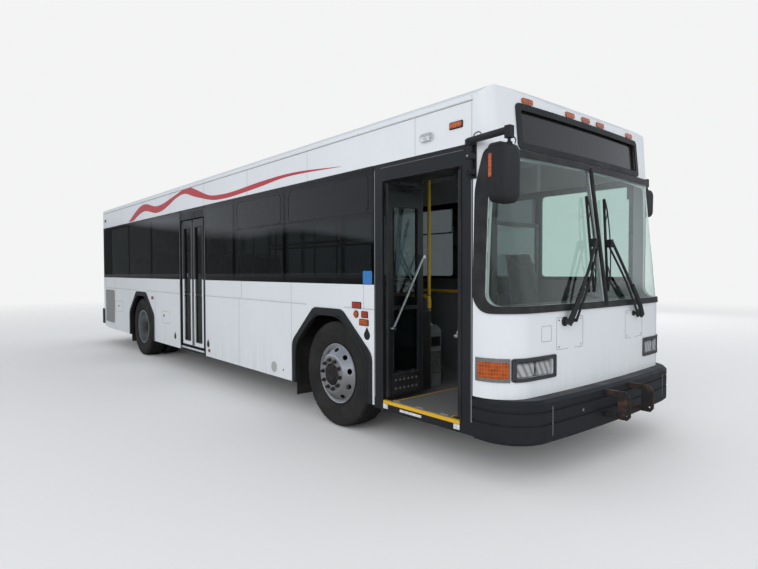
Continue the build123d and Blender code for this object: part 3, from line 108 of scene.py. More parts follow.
def place(tree, stretch=(1, 1, 1)):
    """Object coordinates, stretched."""
    where = tree.nodes.new("ShaderNodeTexCoord")
    mapping = tree.nodes.new("ShaderNodeMapping")
    mapping.inputs["Scale"].default_value = stretch
    tree.links.new(where.outputs["Object"], mapping.inputs["Vector"])
    return mapping.outputs["Vector"]


def noise(tree, scale, detail=4.0, stretch=(1, 1, 1), roughness=0.55):
    """Cloudy noise from 0 to 1."""
    where = place(tree, stretch)
    made = node(tree, "ShaderNodeTexNoise", Vector=where, Scale=scale, Detail=detail, Roughness=roughness)
    return made.outputs["Fac"]


def span(tree, value, low, high, to_low=0.0, to_high=1.0):
    """A value mapped from one range to another and clamped."""
    made = node(
        tree, "ShaderNodeMapRange", Value=value, From_Min=low, From_Max=high, To_Min=to_low, To_Max=to_high
    )
    return made.outputs["Result"]


def maths(tree, operation, a, b=0.5):
    """A sum of two values, each a number or a socket."""
    made = tree.nodes.new("ShaderNodeMath")
    made.operation = operation
    feed(tree, made.inputs[0], a)
    feed(tree, made.inputs[1], b)
    return made.outputs["Value"]


def times(tree, a, b):
    return maths(tree, "MULTIPLY", a, b)


def plus(tree, a, b):
    return maths(tree, "ADD", a, b)


def mix(tree, factor, a, b):
    """A mix of two colours, each a colour or a socket."""
    made = tree.nodes.new("ShaderNodeMix")
    made.data_type = "RGBA"
    sockets = {socket.identifier: socket for socket in (*made.inputs, *made.outputs)}
    for key, value in (("Factor_Float", factor), ("A_Color", a), ("B_Color", b)):
        feed(tree, sockets[key], value)
    return sockets["Result_Color"]


def tint(tree, bsdf, factor, a, b):
    """Makes the base colour a mix of two."""
    tree.links.new(mix(tree, factor, a, b), bsdf.inputs["Base Color"])


def bump(tree, bsdf, height, distance, strength=1.0):
    """Raises the surface by a height map."""
    made = node(tree, "ShaderNodeBump", Height=height, Strength=strength, Distance=distance)
    tree.links.new(made.outputs["Normal"], bsdf.inputs["Normal"])


def axis(tree, name):
    """One coordinate of the place: X, Y or Z."""
    where = tree.nodes.new("ShaderNodeTexCoord")
    parts = node(tree, "ShaderNodeSeparateXYZ", Vector=where.outputs["Object"])
    return parts.outputs[name]


def between(tree, value, low, high):
    """1 where a value lies between two bounds, otherwise 0."""
    return times(tree, maths(tree, "GREATER_THAN", value, low), maths(tree, "LESS_THAN", value, high))


def overpaint(material, mask_of, color, roughness):
    """Paints another colour and shine over a material where the mask is 1."""
    tree = material.node_tree
    bsdf = tree.nodes["Principled BSDF"]
    mask = mask_of(tree)
    tint(tree, bsdf, mask, bsdf.inputs["Base Color"].links[0].from_socket, color)
    shine = bsdf.inputs["Roughness"]
    under = times(tree, maths(tree, "SUBTRACT", 1.0, mask), shine.links[0].from_socket)
    tree.links.new(plus(tree, under, times(tree, mask, roughness)), shine)
    return material


def paint(name, color, dirt=1.0, roughness=0.32, coat=0.35):
    """Body paint with a film of road dirt low down and faint streaks under the seams."""
    material, tree, bsdf = shader(name, color, roughness, coat=coat)
    low = maths(tree, "POWER", span(tree, axis(tree, "Z"), 0.34, 1.15, 1.0, 0.0), 2.2)
    streak = span(tree, noise(tree, 5.0, 5, (5, 5, 0.35)), 0.42, 0.75)
    speck = span(tree, noise(tree, 55.0, 3), 0.52, 0.72)
    film = times(tree, low, plus(tree, streak, times(tree, speck, 0.35)))
    film = plus(tree, times(tree, film, 0.15 * dirt), times(tree, streak, 0.018 * dirt))
    patch = span(tree, noise(tree, 0.9, 3), 0.35, 0.65)
    clean = mix(tree, patch, tuple(c * 0.96 for c in color), color)
    tint(tree, bsdf, film, clean, (0.23, 0.215, 0.19))
    tree.links.new(span(tree, film, 0.0, 0.5, roughness, 0.7), bsdf.inputs["Roughness"])
    bump(tree, bsdf, noise(tree, 1.6, 2), 0.0016, 0.5)
    return material


def plastic(name, color, roughness=0.55, grain=260.0, fade=0.5):
    """Grained moulded plastic, faded and dusty in patches."""
    material, tree, bsdf = shader(name, color, roughness)
    patch = span(tree, noise(tree, 3.5, 5), 0.4, 0.75)
    dusty = tuple(min(1, c * 1.6 + 0.006) for c in color)
    tint(tree, bsdf, times(tree, patch, fade), color, dusty)
    tree.links.new(span(tree, patch, 0, 1, roughness - 0.06, roughness + 0.16), bsdf.inputs["Roughness"])
    bump(tree, bsdf, noise(tree, grain, 2), 0.0006, 0.35)
    return material


def metal(name, color, roughness=0.3, grime=0.4):
    """Bare metal with grime in patches."""
    material, tree, bsdf = shader(name, color, roughness, metallic=1.0)
    patch = span(tree, noise(tree, 14.0, 6), 0.45, 0.8)
    tint(tree, bsdf, times(tree, patch, grime), color, (0.11, 0.095, 0.08))
    tree.links.new(span(tree, patch, 0, 1, roughness, roughness + 0.3), bsdf.inputs["Roughness"])
    bump(tree, bsdf, noise(tree, 120.0, 3), 0.0003, 0.3)
    return material


def rusty(name, color, rust=0.5):
    """Chassis paint with rust breaking through."""
    material, tree, bsdf = shader(name, color, 0.6)
    patch = span(tree, noise(tree, 9.0, 8, roughness=0.7), 0.5, 0.68)
    orange = mix(tree, span(tree, noise(tree, 60, 4), 0.4, 0.6), (0.17, 0.065, 0.025), (0.30, 0.13, 0.05))
    tint(tree, bsdf, times(tree, patch, rust), color, orange)
    bump(tree, bsdf, noise(tree, 90.0, 5), 0.0012, 0.5)
    return material


def glass(name, color, roughness):
    """Clear or tinted glass."""
    return shader(name, color, roughness, transmission=1.0)[0]


def lens(name, color, glow=0.0, pitch=62.0):
    """Coloured lens, moulded inside in small pyramids over a bright reflector."""
    material, tree, bsdf = shader(name, color, 0.10, coat=1.0)
    along = times(tree, plus(tree, axis(tree, "X"), axis(tree, "Y")), pitch)
    upward = times(tree, axis(tree, "Z"), pitch)
    ridge = maths(tree, "MAXIMUM", maths(tree, "PINGPONG", along), maths(tree, "PINGPONG", upward))
    deep = mix(tree, span(tree, noise(tree, 22.0, 2), 0.35, 0.65), tuple(c * 0.5 for c in color), color)
    light = tuple(min(1.0, c * 1.25 + 0.02) for c in color)
    tint(tree, bsdf, span(tree, ridge, 0.36, 0.50), deep, light)
    bump(tree, bsdf, ridge, 0.0012, 0.5)
    bsdf.inputs["Emission Color"].default_value = (*color, 1)
    bsdf.inputs["Emission Strength"].default_value = glow
    return material


def headlamp_lens():
    """Clear lens over a silvered reflector: slanted flutes and a dark upper edge."""
    material, tree, bsdf = shader("headlamp_lens", (0.8, 0.82, 0.83), 0.07, metallic=0.75, coat=1.0)
    slant = plus(tree, times(tree, axis(tree, "Y"), 17.0), times(tree, axis(tree, "Z"), 9.0))
    flutes = maths(tree, "PINGPONG", slant)
    shade = mix(tree, span(tree, flutes, 0.10, 0.30), (0.46, 0.48, 0.50), (0.96, 0.97, 0.98))
    top = span(tree, axis(tree, "Z"), 0.862, 0.884)
    tint(tree, bsdf, top, shade, (0.09, 0.095, 0.10))
    bump(tree, bsdf, flutes, 0.004, 0.6)
    return material


def gasket_rubber():
    """Black rubber, greyed where it is worn."""
    color = (0.018, 0.018, 0.019)
    material, tree, bsdf = shader("gasket_rubber", color, 0.42)
    worn = span(tree, noise(tree, 8.0, 6), 0.4, 0.75)
    tint(tree, bsdf, times(tree, worn, 0.5), color, (0.06, 0.058, 0.055))
    bump(tree, bsdf, noise(tree, 140.0, 3), 0.0005, 0.4)
    return material


def tyre_rubber():
    """Tyre rubber: brown dust on the sidewall, a pale scuffed tread."""
    material, tree, bsdf = shader("tyre_rubber", (0.022, 0.022, 0.023), 0.72)
    dust = span(tree, noise(tree, 6.0, 7, roughness=0.65), 0.38, 0.72)
    fine = span(tree, noise(tree, 70.0, 3), 0.4, 0.7)
    amount = times(tree, plus(tree, dust, times(tree, fine, 0.4)), 0.20)
    tint(tree, bsdf, amount, (0.015, 0.015, 0.0155), (0.10, 0.090, 0.078))
    bump(tree, bsdf, noise(tree, 200.0, 4), 0.0008, 0.5)
    return material


def fabric(name, color, fleck):
    """Woven seat cover with coloured flecks."""
    material, tree, bsdf = shader(name, color, 0.85)
    bsdf.inputs["Sheen Weight"].default_value = 0.4
    cells = node(tree, "ShaderNodeTexVoronoi", Vector=place(tree), Scale=42.0).outputs["Color"]
    pick = span(tree, node(tree, "ShaderNodeSeparateXYZ", Vector=cells).outputs["X"], 0.62, 0.66)
    tint(tree, bsdf, pick, color, fleck)
    bump(tree, bsdf, noise(tree, 700.0, 2), 0.001, 0.6)
    return material


def floor_covering():
    """Grey flecked floor, worn in patches."""
    material, tree, bsdf = shader("grey_floor", (0.17, 0.175, 0.18), 0.6)
    fleck = span(tree, noise(tree, 420.0, 2), 0.6, 0.66)
    worn = span(tree, noise(tree, 2.0, 6), 0.4, 0.7)
    base = mix(tree, worn, (0.10, 0.105, 0.11), (0.17, 0.165, 0.155))
    tint(tree, bsdf, fleck, base, (0.32, 0.32, 0.31))
    bump(tree, bsdf, noise(tree, 300.0, 3), 0.0008, 0.4)
    return material


def dot_matrix():
    """A dark sign face with rows of unlit dots."""
    material, tree, bsdf = shader("sign_face", (0.012, 0.012, 0.013), 0.16, coat=0.6)
    parts = node(tree, "ShaderNodeSeparateXYZ", Vector=place(tree, (80.0, 80.0, 80.0)))
    rows = maths(tree, "PINGPONG", parts.outputs["Z"])
    columns = maths(tree, "PINGPONG", plus(tree, parts.outputs["X"], parts.outputs["Y"]))
    dots = times(tree, span(tree, rows, 0.22, 0.34), span(tree, columns, 0.22, 0.34))
    tint(tree, bsdf, dots, (0.008, 0.008, 0.009), (0.045, 0.042, 0.032))
    return material


def perforated():
    """A dark plate full of small round holes."""
    material, tree, bsdf = shader("perforated_plate", (0.1, 0.1, 0.1), 0.6)
    parts = node(tree, "ShaderNodeSeparateXYZ", Vector=place(tree, (110.0, 110.0, 110.0)))
    u = maths(tree, "SUBTRACT", maths(tree, "PINGPONG", parts.outputs["X"]), 0.25)
    v = maths(tree, "SUBTRACT", maths(tree, "PINGPONG", parts.outputs["Z"]), 0.25)
    holes = span(tree, plus(tree, times(tree, u, u), times(tree, v, v)), 0.018, 0.03, 1.0, 0.0)
    tint(tree, bsdf, holes, (0.36, 0.37, 0.375), (0.03, 0.03, 0.03))
    return material


def floor_plate():
    """Grey gritted plate, worn by feet."""
    material, tree, bsdf = shader("ramp_plate", (0.2, 0.2, 0.2), 0.7)
    grit = node(tree, "ShaderNodeTexVoronoi", Vector=place(tree), Scale=260.0).outputs["Distance"]
    worn = span(tree, noise(tree, 4.0, 6), 0.4, 0.7)
    tone = mix(tree, worn, (0.25, 0.25, 0.25), (0.37, 0.365, 0.345))
    tint(tree, bsdf, span(tree, grit, 0.0, 0.5), tone, (0.17, 0.17, 0.165))
    bump(tree, bsdf, grit, 0.0015, 0.5)
    return material


# Looks, by the names the pieces use

BODY_WHITE = (0.80, 0.835, 0.865)
WHITE = paint("white_paint", BODY_WHITE)
RED = paint("red_stripe", (0.52, 0.040, 0.052), dirt=0.1, roughness=0.4, coat=0.1)
CHARCOAL = plastic("charcoal_frame", (0.015, 0.017, 0.020), 0.36, 90.0, 0.2)
BLACK = plastic("black_plastic", (0.017, 0.018, 0.020), 0.46, 240.0, 0.4)
BUMPER = plastic("bumper_plastic", (0.014, 0.016, 0.019), 0.50, 420.0, 0.35)
BAND = plastic("band_black", (0.006, 0.0065, 0.0075), 0.14, 20.0, 0.05)
GREY = plastic("grey_plastic", (0.13, 0.135, 0.14), 0.55, 200.0, 0.3)
PALE_GREY = plastic("pale_panel", (0.42, 0.43, 0.43), 0.6, 150.0, 0.2)
SEAM = plastic("seam_gap", (0.21, 0.215, 0.22), 0.8, 100.0, 0.1)
STEEL = rusty("chassis_steel", (0.026, 0.026, 0.026), 0.12)
RUST = rusty("rusty_bracket", (0.026, 0.025, 0.025), 0.42)
ALLOY = metal("wheel_alloy", (0.76, 0.77, 0.78), 0.28, 0.15)
STAINLESS = metal("stainless", (0.62, 0.62, 0.61), 0.22, 0.15)
CHROME = metal("chrome", (0.78, 0.79, 0.80), 0.08, 0.06)
HUB_DARK = rusty("hub_grease", (0.022, 0.020, 0.019), 0.16)
NUT = metal("nut_steel", (0.20, 0.19, 0.175), 0.42, 0.7)
TYRE = tyre_rubber()
GASKET = gasket_rubber()
SIDE_GLASS = glass("tinted_glass", (0.085, 0.10, 0.105), 0.008)
SCREEN = glass("screen_glass", (0.82, 0.93, 0.89), 0.004)
DRIVER_GLASS = glass("driver_glass", (0.52, 0.66, 0.63), 0.006)
DOOR_GLASS = glass("door_glass", (0.36, 0.48, 0.49), 0.01)
AMBER = lens("amber_lens", (0.42, 0.082, 0.006), 0.04, 36.0)
RED_LENS = lens("red_lens", (0.38, 0.030, 0.014), 0.03)
WHITE_LENS = lens("white_lens", (0.75, 0.76, 0.76))
HEAD_LENS = headlamp_lens()
BEZEL = metal("lamp_bezel", (0.20, 0.205, 0.215), 0.34, 0.2)
YELLOW = paint("yellow_powder", (0.76, 0.46, 0.02), dirt=0.3, roughness=0.4, coat=0.2)
SEAT = fabric("seat_cloth", (0.03, 0.055, 0.14), (0.25, 0.10, 0.16))
FLOOR_COVER = floor_covering()
BLUE = paint("blue_sticker", (0.03, 0.20, 0.52), dirt=0.0, roughness=0.4, coat=0.0)
SIGN = dot_matrix()
RAMP = floor_plate()
YELLOW_EDGE = plastic("yellow_edge", (0.74, 0.43, 0.02), 0.6, 150.0, 0.2)
PERFORATED = perforated()
DRIVER_CLOTH = fabric("driver_cloth", (0.03, 0.032, 0.036), (0.05, 0.055, 0.06))
CEILING_LIGHT = plastic("light_diffuser", (0.62, 0.64, 0.64), 0.4, 80.0, 0.1)


# Heights of the black window band
BAND_FOOT, BAND_HEAD = 1.425, 2.490


def tail_corner(tree):
    """The black that carries the window band round the tail's corners."""
    wide = maths(tree, "GREATER_THAN", maths(tree, "ABSOLUTE", axis(tree, "Y")), 1.105)
    return times(tree, wide, between(tree, axis(tree, "Z"), BAND_FOOT, BAND_HEAD))


def leaf_top(tree):
    """The dark upper part of an exit leaf, its middle rail and its inner side."""
    inside = maths(tree, "GREATER_THAN", axis(tree, "Y"), -half + 0.020)
    off_middle = maths(tree, "ABSOLUTE", maths(tree, "SUBTRACT", axis(tree, "X"), at(-3.615)))
    rail = times(tree, between(tree, axis(tree, "Z"), 1.165, 1.245), between(tree, off_middle, 0.105, 0.329))
    dark = maths(tree, "MAXIMUM", rail, maths(tree, "GREATER_THAN", axis(tree, "Z"), 1.43))
    return maths(tree, "MAXIMUM", inside, dark)


REAR_WHITE = overpaint(paint("tail_paint", BODY_WHITE), tail_corner, (0.014, 0.015, 0.017), 0.2)
REAR_LEAF = overpaint(paint("exit_leaf_paint", BODY_WHITE), leaf_top, (0.018, 0.020, 0.022), 0.4)

# CAD nodes of one look. Those of several looks follow with faces_of and dress_leaf
NODE_LOOKS = {
    WHITE: (
        "cove_panels", "roof", "front_mask", "front_cap", "windshield_frame", "engine_door",
        "roof_hatch_front", "roof_hatch_rear",
    ),
    REAR_WHITE: ("rear_panel",),
    BAND: ("window_frames_right", "window_frames_left"),
    GASKET: ("windshield_gasket",),
    SCREEN: ("windshield",),
    SIGN: ("signs",),
    BUMPER: ("front_bumper", "rear_bumper"),
    RUST: ("rack_brackets",),
    CHARCOAL: ("door_frames",),
    BLACK: ("arch_trims", "mirrors", "wipers", "sign_frame"),
    STEEL: (
        "front_axle", "rear_axle", "underframe", "engine_block", "tie_rod", "knuckle_left", "knuckle_right",
        "wheelhouses",
    ),
    FLOOR_COVER: ("floor",),
    RAMP: ("boarding_ramp",),
    GREY: ("passenger_seats", "driver_seat", "dashboard", "steering_wheel", "steering_column", "farebox"),
    YELLOW: ("stanchions",),
    AMBER: ("marker_lamps",),
    TYRE: ("front_tyre_left", "front_tyre_right", "rear_tyres_left", "rear_tyres_right"),
    ALLOY: ("front_rim_left", "front_rim_right", "rear_rims_left", "rear_rims_right"),
}
for look, names in NODE_LOOKS.items():
    for name in names:
        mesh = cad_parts[name].data
        mesh.materials.clear()
        mesh.materials.append(look)


# Building pieces


def bevel_edges(piece, width, angle):
    """Rounds the edges sharper than an angle in degrees."""
    edge = piece.modifiers.new("soft_edges", "BEVEL")
    edge.width = width
    edge.segments = 2
    edge.limit_method = "ANGLE"
    edge.angle_limit = math.radians(angle)
    return edge


class Form:
    """A piece built up from skins. Each skin takes one of the piece's looks, by its place in the list."""

    def __init__(self, *looks):
        self.shape = bmesh.new()
        self.looks = looks

    def skin(self, rings, look=0, around=False):
        """Joins rings of points into a skin that caps close, or that goes around from last to first."""
        rows = [[self.shape.verts.new(point) for point in ring] for ring in rings]
        count = len(rows[0])
        pairs = list(zip(rows, rows[1:] + rows[:1] if around else rows[1:]))
        made = []
        for low, high in pairs:
            for i in range(count):
                j = (i + 1) % count
                made.append(self.shape.faces.new((low[i], low[j], high[j], high[i])))
        if not around:
            made.append(self.shape.faces.new(rows[0][::-1]))
            made.append(self.shape.faces.new(rows[-1]))
        for face in made:
            face.material_index = look

    def prism(self, outline, depth, look=0):
        """An outline of points pushed along a vector."""
        depth = Vector(depth)
        self.skin([outline, [Vector(p) + depth for p in outline]], look)

    def block(self, corner, other, look=0):
        """A box between two opposite corners, in either order."""
        (x0, x1), (y0, y1), (z0, z1) = (sorted(pair) for pair in zip(corner, other))
        self.prism([(x0, y0, z0), (x1, y0, z0), (x1, y1, z0), (x0, y1, z0)], (0, 0, z1 - z0), look)

    def tube(self, points, radius, look=0, sides=12, flat=1.0):
        """A rod along a path. flat squeezes its section."""
        points = [Vector(p) for p in points]
        rings = []
        across = None
        for i, point in enumerate(points):
            ahead = (points[min(i + 1, len(points) - 1)] - points[max(i - 1, 0)]).normalized()
            if across is None:
                across = ahead.orthogonal().normalized()
            across = (across - ahead * across.dot(ahead)).normalized()
            up = ahead.cross(across)
            rings.append([
                point + radius * (math.cos(t) * across + flat * math.sin(t) * up) for t in round_turns(sides)
            ])
        self.skin(rings, look)

    def lathe(self, profile, origin, axis, look=0, steps=32):
        """A solid of revolution: profile is a list of distances along and off the axis."""
        origin, axis = Vector(origin), Vector(axis).normalized()
        side = axis.orthogonal().normalized()
        other = axis.cross(side)
        rings = []
        for turn in round_turns(steps):
            ray = math.cos(turn) * side + math.sin(turn) * other
            rings.append([origin + along * axis + max(off, 1e-5) * ray for along, off in profile])
        self.skin(rings, look, around=True)

    def done(self, name, body="root", bevel=0.0, sharp=40):
        """Makes the object, which rides on a CAD body."""
        bmesh.ops.remove_doubles(self.shape, verts=self.shape.verts, dist=2e-5)
        bmesh.ops.recalc_face_normals(self.shape, faces=self.shape.faces)
        mesh = bpy.data.meshes.new(name)
        self.shape.to_mesh(mesh)
        self.shape.free()
        for look in self.looks:
            mesh.materials.append(look)
        mesh.polygons.foreach_set("use_smooth", [True] * len(mesh.polygons))
        mesh.set_sharp_from_angle(angle=math.radians(sharp))
        piece = bpy.data.objects.new(name, mesh)
        bpy.context.collection.objects.link(piece)
        if bevel:
            bevel_edges(piece, bevel, 35).harden_normals = True
        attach(piece, body)
        return piece


def rounded(u0, u1, v0, v1, radius, steps=4):
    """The points of a rectangle with round corners."""
    u0, u1 = sorted((u0, u1))
    points = []
    for cu, cv, start in (
        (u1 - radius, v1 - radius, 0), (u0 + radius, v1 - radius, 90),
        (u0 + radius, v0 + radius, 180), (u1 - radius, v0 + radius, 270),
    ):
        for k in range(steps + 1):
            turn = math.radians(start + 90 * k / steps)
            points.append((cu + radius * math.cos(turn), cv + radius * math.sin(turn)))
    return points


def round_turns(steps):
    """Evenly spaced angles of one whole turn."""
    return [2 * math.pi * k / steps for k in range(steps)]


def circle(u, v, radius, steps=20):
    return [(u + radius * math.cos(t), v + radius * math.sin(t)) for t in round_turns(steps)]


def curve(points, steps=12):
    """A smooth line through points."""
    points = [Vector(p) for p in points]
    ends = [2 * points[0] - points[1]] + points + [2 * points[-1] - points[-2]]
    line = []
    for a, b, c, d in zip(ends, ends[1:], ends[2:], ends[3:]):
        for k in range(steps):
            t = k / steps
            square, cube = (2 * a - 5 * b + 4 * c - d) * t * t, (3 * b - a - 3 * c + d) * t ** 3
            line.append(0.5 * (2 * b + (c - a) * t + square + cube))
    return line + [points[-1]]


def bent(points, radius, steps=6):
    """A polyline with rounded bends."""
    points = [Vector(p) for p in points]
    line = [points[0]]
    for a, b, c in zip(points, points[1:], points[2:]):
        back, ahead = (a - b).normalized(), (c - b).normalized()
        cut = min(radius, (a - b).length * 0.45, (c - b).length * 0.45)
        start, end = b + back * cut, b + ahead * cut
        for k in range(steps + 1):
            t = k / steps
            line.append((1 - t) ** 2 * start + 2 * t * (1 - t) * b + t * t * end)
    return line + [points[-1]]


# Skins of the body that details lie on. Each gives a point and its outward direction

def side_skin(side):
    def spot(reach, z):
        return Vector((at(reach), side * half, z)), Vector((0, side, 0))
    return spot


def cast_on(nodes, start, ray):
    """The outside of some CAD nodes, met by rays. start turns a pair of places into a ray's start."""
    ray = Vector(ray)
    trees = []
    for name in nodes:
        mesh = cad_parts[name].data
        points = [v.co.copy() for v in mesh.vertices]
        trees.append(BVHTree.FromPolygons(points, [tuple(p.vertices) for p in mesh.polygons]))

    def spot(u, v):
        hits = [tree.ray_cast(Vector(start(u, v)), ray) for tree in trees]
        found, normal = min((hit for hit in hits if hit[0] is not None), key=lambda hit: hit[3])[:2]
        return found, normal if normal.dot(ray) < 0 else -normal
    return spot


# Where rays start, clear of the bus, and the ways they go
AHEAD_X, BEHIND_X, ABOVE_Z = at(3.2), at(-10), 4.0
BACKWARD, FORWARD, DOWN = (-1, 0, 0), (1, 0, 0), (0, 0, -1)


def from_ahead(y, z):
    return AHEAD_X, y, z


front_skin = cast_on(
    ("front_mask", "windshield_frame", "front_cap", "windshield_gasket", "sign_frame", "signs", "windshield"),
    from_ahead, BACKWARD,
)
mask_skin = cast_on(("front_mask", "windshield_frame"), from_ahead, BACKWARD)
screen_skin = cast_on(("front_mask", "windshield_frame", "windshield"), from_ahead, BACKWARD)
bumper_skin = cast_on(("front_bumper",), from_ahead, BACKWARD)
headlamp_skin = cast_on(("headlamps",), from_ahead, BACKWARD)
rear_skin = cast_on(("rear_panel", "engine_door", "rear_bumper"), lambda y, z: (BEHIND_X, y, z), FORWARD)
roof_skin = cast_on(("roof", "front_cap", "rear_panel"), lambda x, y: (at(x), y, ABOVE_Z), DOWN)
sides = {side: side_skin(side) for side in (CURB, STREET)}


def pad(form, outline, skin_of, height, look=0, sink=0.002):
    """A flat shape laid on a skin and raised off it."""
    low, high = [], []
    for u, v in outline:
        place, normal = skin_of(u, v)
        low.append(place - normal * sink)
        high.append(place + normal * height)
    form.skin([low, high], look)


def line(form, path, skin_of, width, height=0.0008, look=0, closed=False, sink=0.001):
    """A thin strip that follows a path over a skin."""
    spots = [skin_of(u, v) for u, v in path]
    if closed:
        spots.append(spots[0])
    rings = []
    for i, (place, normal) in enumerate(spots):
        before = spots[max(i - 1, 0)][0]
        after = spots[min(i + 1, len(spots) - 1)][0]
        if closed and i in (0, len(spots) - 1):
            before, after = spots[-2][0], spots[1][0]
        across = (after - before).cross(normal).normalized() * width / 2
        rings.append([
            place - across - normal * sink, place - across + normal * height,
            place + across + normal * height, place + across - normal * sink,
        ])
    form.skin(rings, look)


def steps_between(a, b, count):
    """Evenly spaced values from a to b."""
    return [a + (b - a) * k / count for k in range(count + 1)]


def level(v, u0, u1, count=1):
    """A path at one height."""
    return [(u, v) for u in steps_between(u0, u1, count)]


def upright(u, v0, v1, count=1):
    """A path at one place across."""
    return [(u, v) for v in steps_between(v0, v1, count)]


# CAD nodes that carry several looks, face by face

def faces_of(node_name, looks, choose):
    """Gives each face of a CAD node one of several looks, by what choose says of its middle and normal."""
    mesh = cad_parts[node_name].data
    mesh.materials.clear()
    for look in looks:
        mesh.materials.append(look)
    for face in mesh.polygons:
        face.material_index = choose(face.center, face.normal)


def headlamp_face(place, normal):
    """The two round-cornered lenses; the rest is bezel."""
    y, z = abs(place.y), place.z
    in_lens = (0.794 < y < 0.963 or 0.991 < y < 1.151) and 0.779 < z < 0.885
    depth = mask_skin(place.y, 0.70)[0].x - place.x
    return 1 if in_lens and depth < 0.0335 else 0


def turn_signal_face(place, normal):
    """Bezel or lens."""
    in_lens = 0.771 < place.z < 0.893 and abs(place.y) > 1.212 and place.x > at(1.848)
    return 1 if in_lens else 0


def tail_lamp_face(place, normal):
    """From the foot up: reversing lamp, turn signal, then red."""
    if place.z < 0.86:
        return 1
    return 2 if place.z < 0.99 else 0


def partition_face(place, normal):
    """The driver's pane; the rest is panel."""
    pane = place.z > 1.28 and abs(normal.x) > 0.9 and at(0.6655) < place.x < at(0.6745)
    return 1 if pane else 0


def side_face(place, normal):
    """Outer skin, edges, or the inner wall."""
    if abs(place.y) > half - 0.002 and abs(normal.y) > 0.9:
        return 0
    return 2 if abs(normal.y) > 0.9 else 1


def window_face(place, normal):
    """The driver's window is clear; the rest is tinted."""
    return 1 if place.y > 0 and place.x > at(0.66) else 0


for name in ("side_lower_right", "side_lower_left"):
    faces_of(name, (WHITE, BLACK, GREY), side_face)
faces_of("side_glass", (SIDE_GLASS, DRIVER_GLASS), window_face)
faces_of("headlamps", (BEZEL, HEAD_LENS), headlamp_face)
faces_of("turn_signals", (STAINLESS, AMBER), turn_signal_face)
faces_of("tail_lamps", (RED_LENS, WHITE_LENS, AMBER), tail_lamp_face)
faces_of("cabin_partitions", (GREY, SCREEN), partition_face)


# Sides: the red wave, seams, mouldings, hatches, grille, marks and lamps

# Reach and height of the wave's upper and lower edges
WAVE_TOP = (
    (-6.775, 2.507), (-6.45, 2.622), (-6.12, 2.722), (-5.85, 2.756), (-5.60, 2.738), (-5.32, 2.682),
    (-5.10, 2.664), (-4.80, 2.680), (-4.292, 2.752), (-3.770, 2.820), (-3.477, 2.762), (-2.965, 2.618),
    (-2.55, 2.583), (-2.197, 2.582), (-1.80, 2.600), (-1.467, 2.614), (-0.947, 2.623), (-0.487, 2.608),
    (0.155, 2.557),
)
WAVE_FOOT = (
    (-6.775, 2.503), (-6.479, 2.510), (-6.20, 2.575), (-5.95, 2.622), (-5.75, 2.630), (-5.50, 2.598),
    (-5.25, 2.556), (-5.05, 2.552), (-4.80, 2.575), (-4.50, 2.640), (-4.226, 2.705), (-3.871, 2.734),
    (-3.477, 2.650), (-2.884, 2.542), (-2.50, 2.520), (-2.10, 2.525), (-1.468, 2.556), (-0.947, 2.589),
    (-0.487, 2.584), (0.155, 2.554),
)

# Reaches of the side's ends, of the level seam's breaks at the arches, and of the doorways
TAIL, NOSE = -8.60, 1.79
REAR_ARCH, FRONT_ARCH = (-6.34, -5.79), (-0.46, 0.20)
REAR_DOORWAY, FRONT_DOORWAY = (-4.11, -3.12), (0.65, NOSE)
# Heights of the skirt's foot, the level seam, the windows' foot and the roof seam
SKIRT_Z, SEAM_Z, SASH_Z, RAIL_Z = 0.345, 1.20, 1.42, 2.80


def height_at(path, reach):
    """Height of a path of (reach, height) places at one reach."""
    for (x0, z0), (x1, z1) in zip(path, path[1:]):
        if x0 <= reach <= x1:
            return z0 + (z1 - z0) * (reach - x0) / (x1 - x0)
    return path[-1][1]


def wave_stripe(side, name):
    """The red wave along the roof's edge, between two smooth lines."""
    form = Form(RED)
    foot, top = (
        [(p.x, p.z) for p in curve([(x, 0, z) for x, z in edge], 8)] for edge in (WAVE_FOOT, WAVE_TOP)
    )
    rings = []
    for reach in steps_between(WAVE_TOP[0][0], WAVE_TOP[-1][0], 220):
        low = height_at(foot, reach)
        high = max(height_at(top, reach), low + 0.002)
        x, inner, outer = at(reach), side * half - side * 0.001, side * half + side * 0.0007
        rings.append([(x, inner, low), (x, outer, low), (x, outer, high), (x, inner, high)])
    form.skin(rings)
    form.done(f"wave_stripe_{name}")


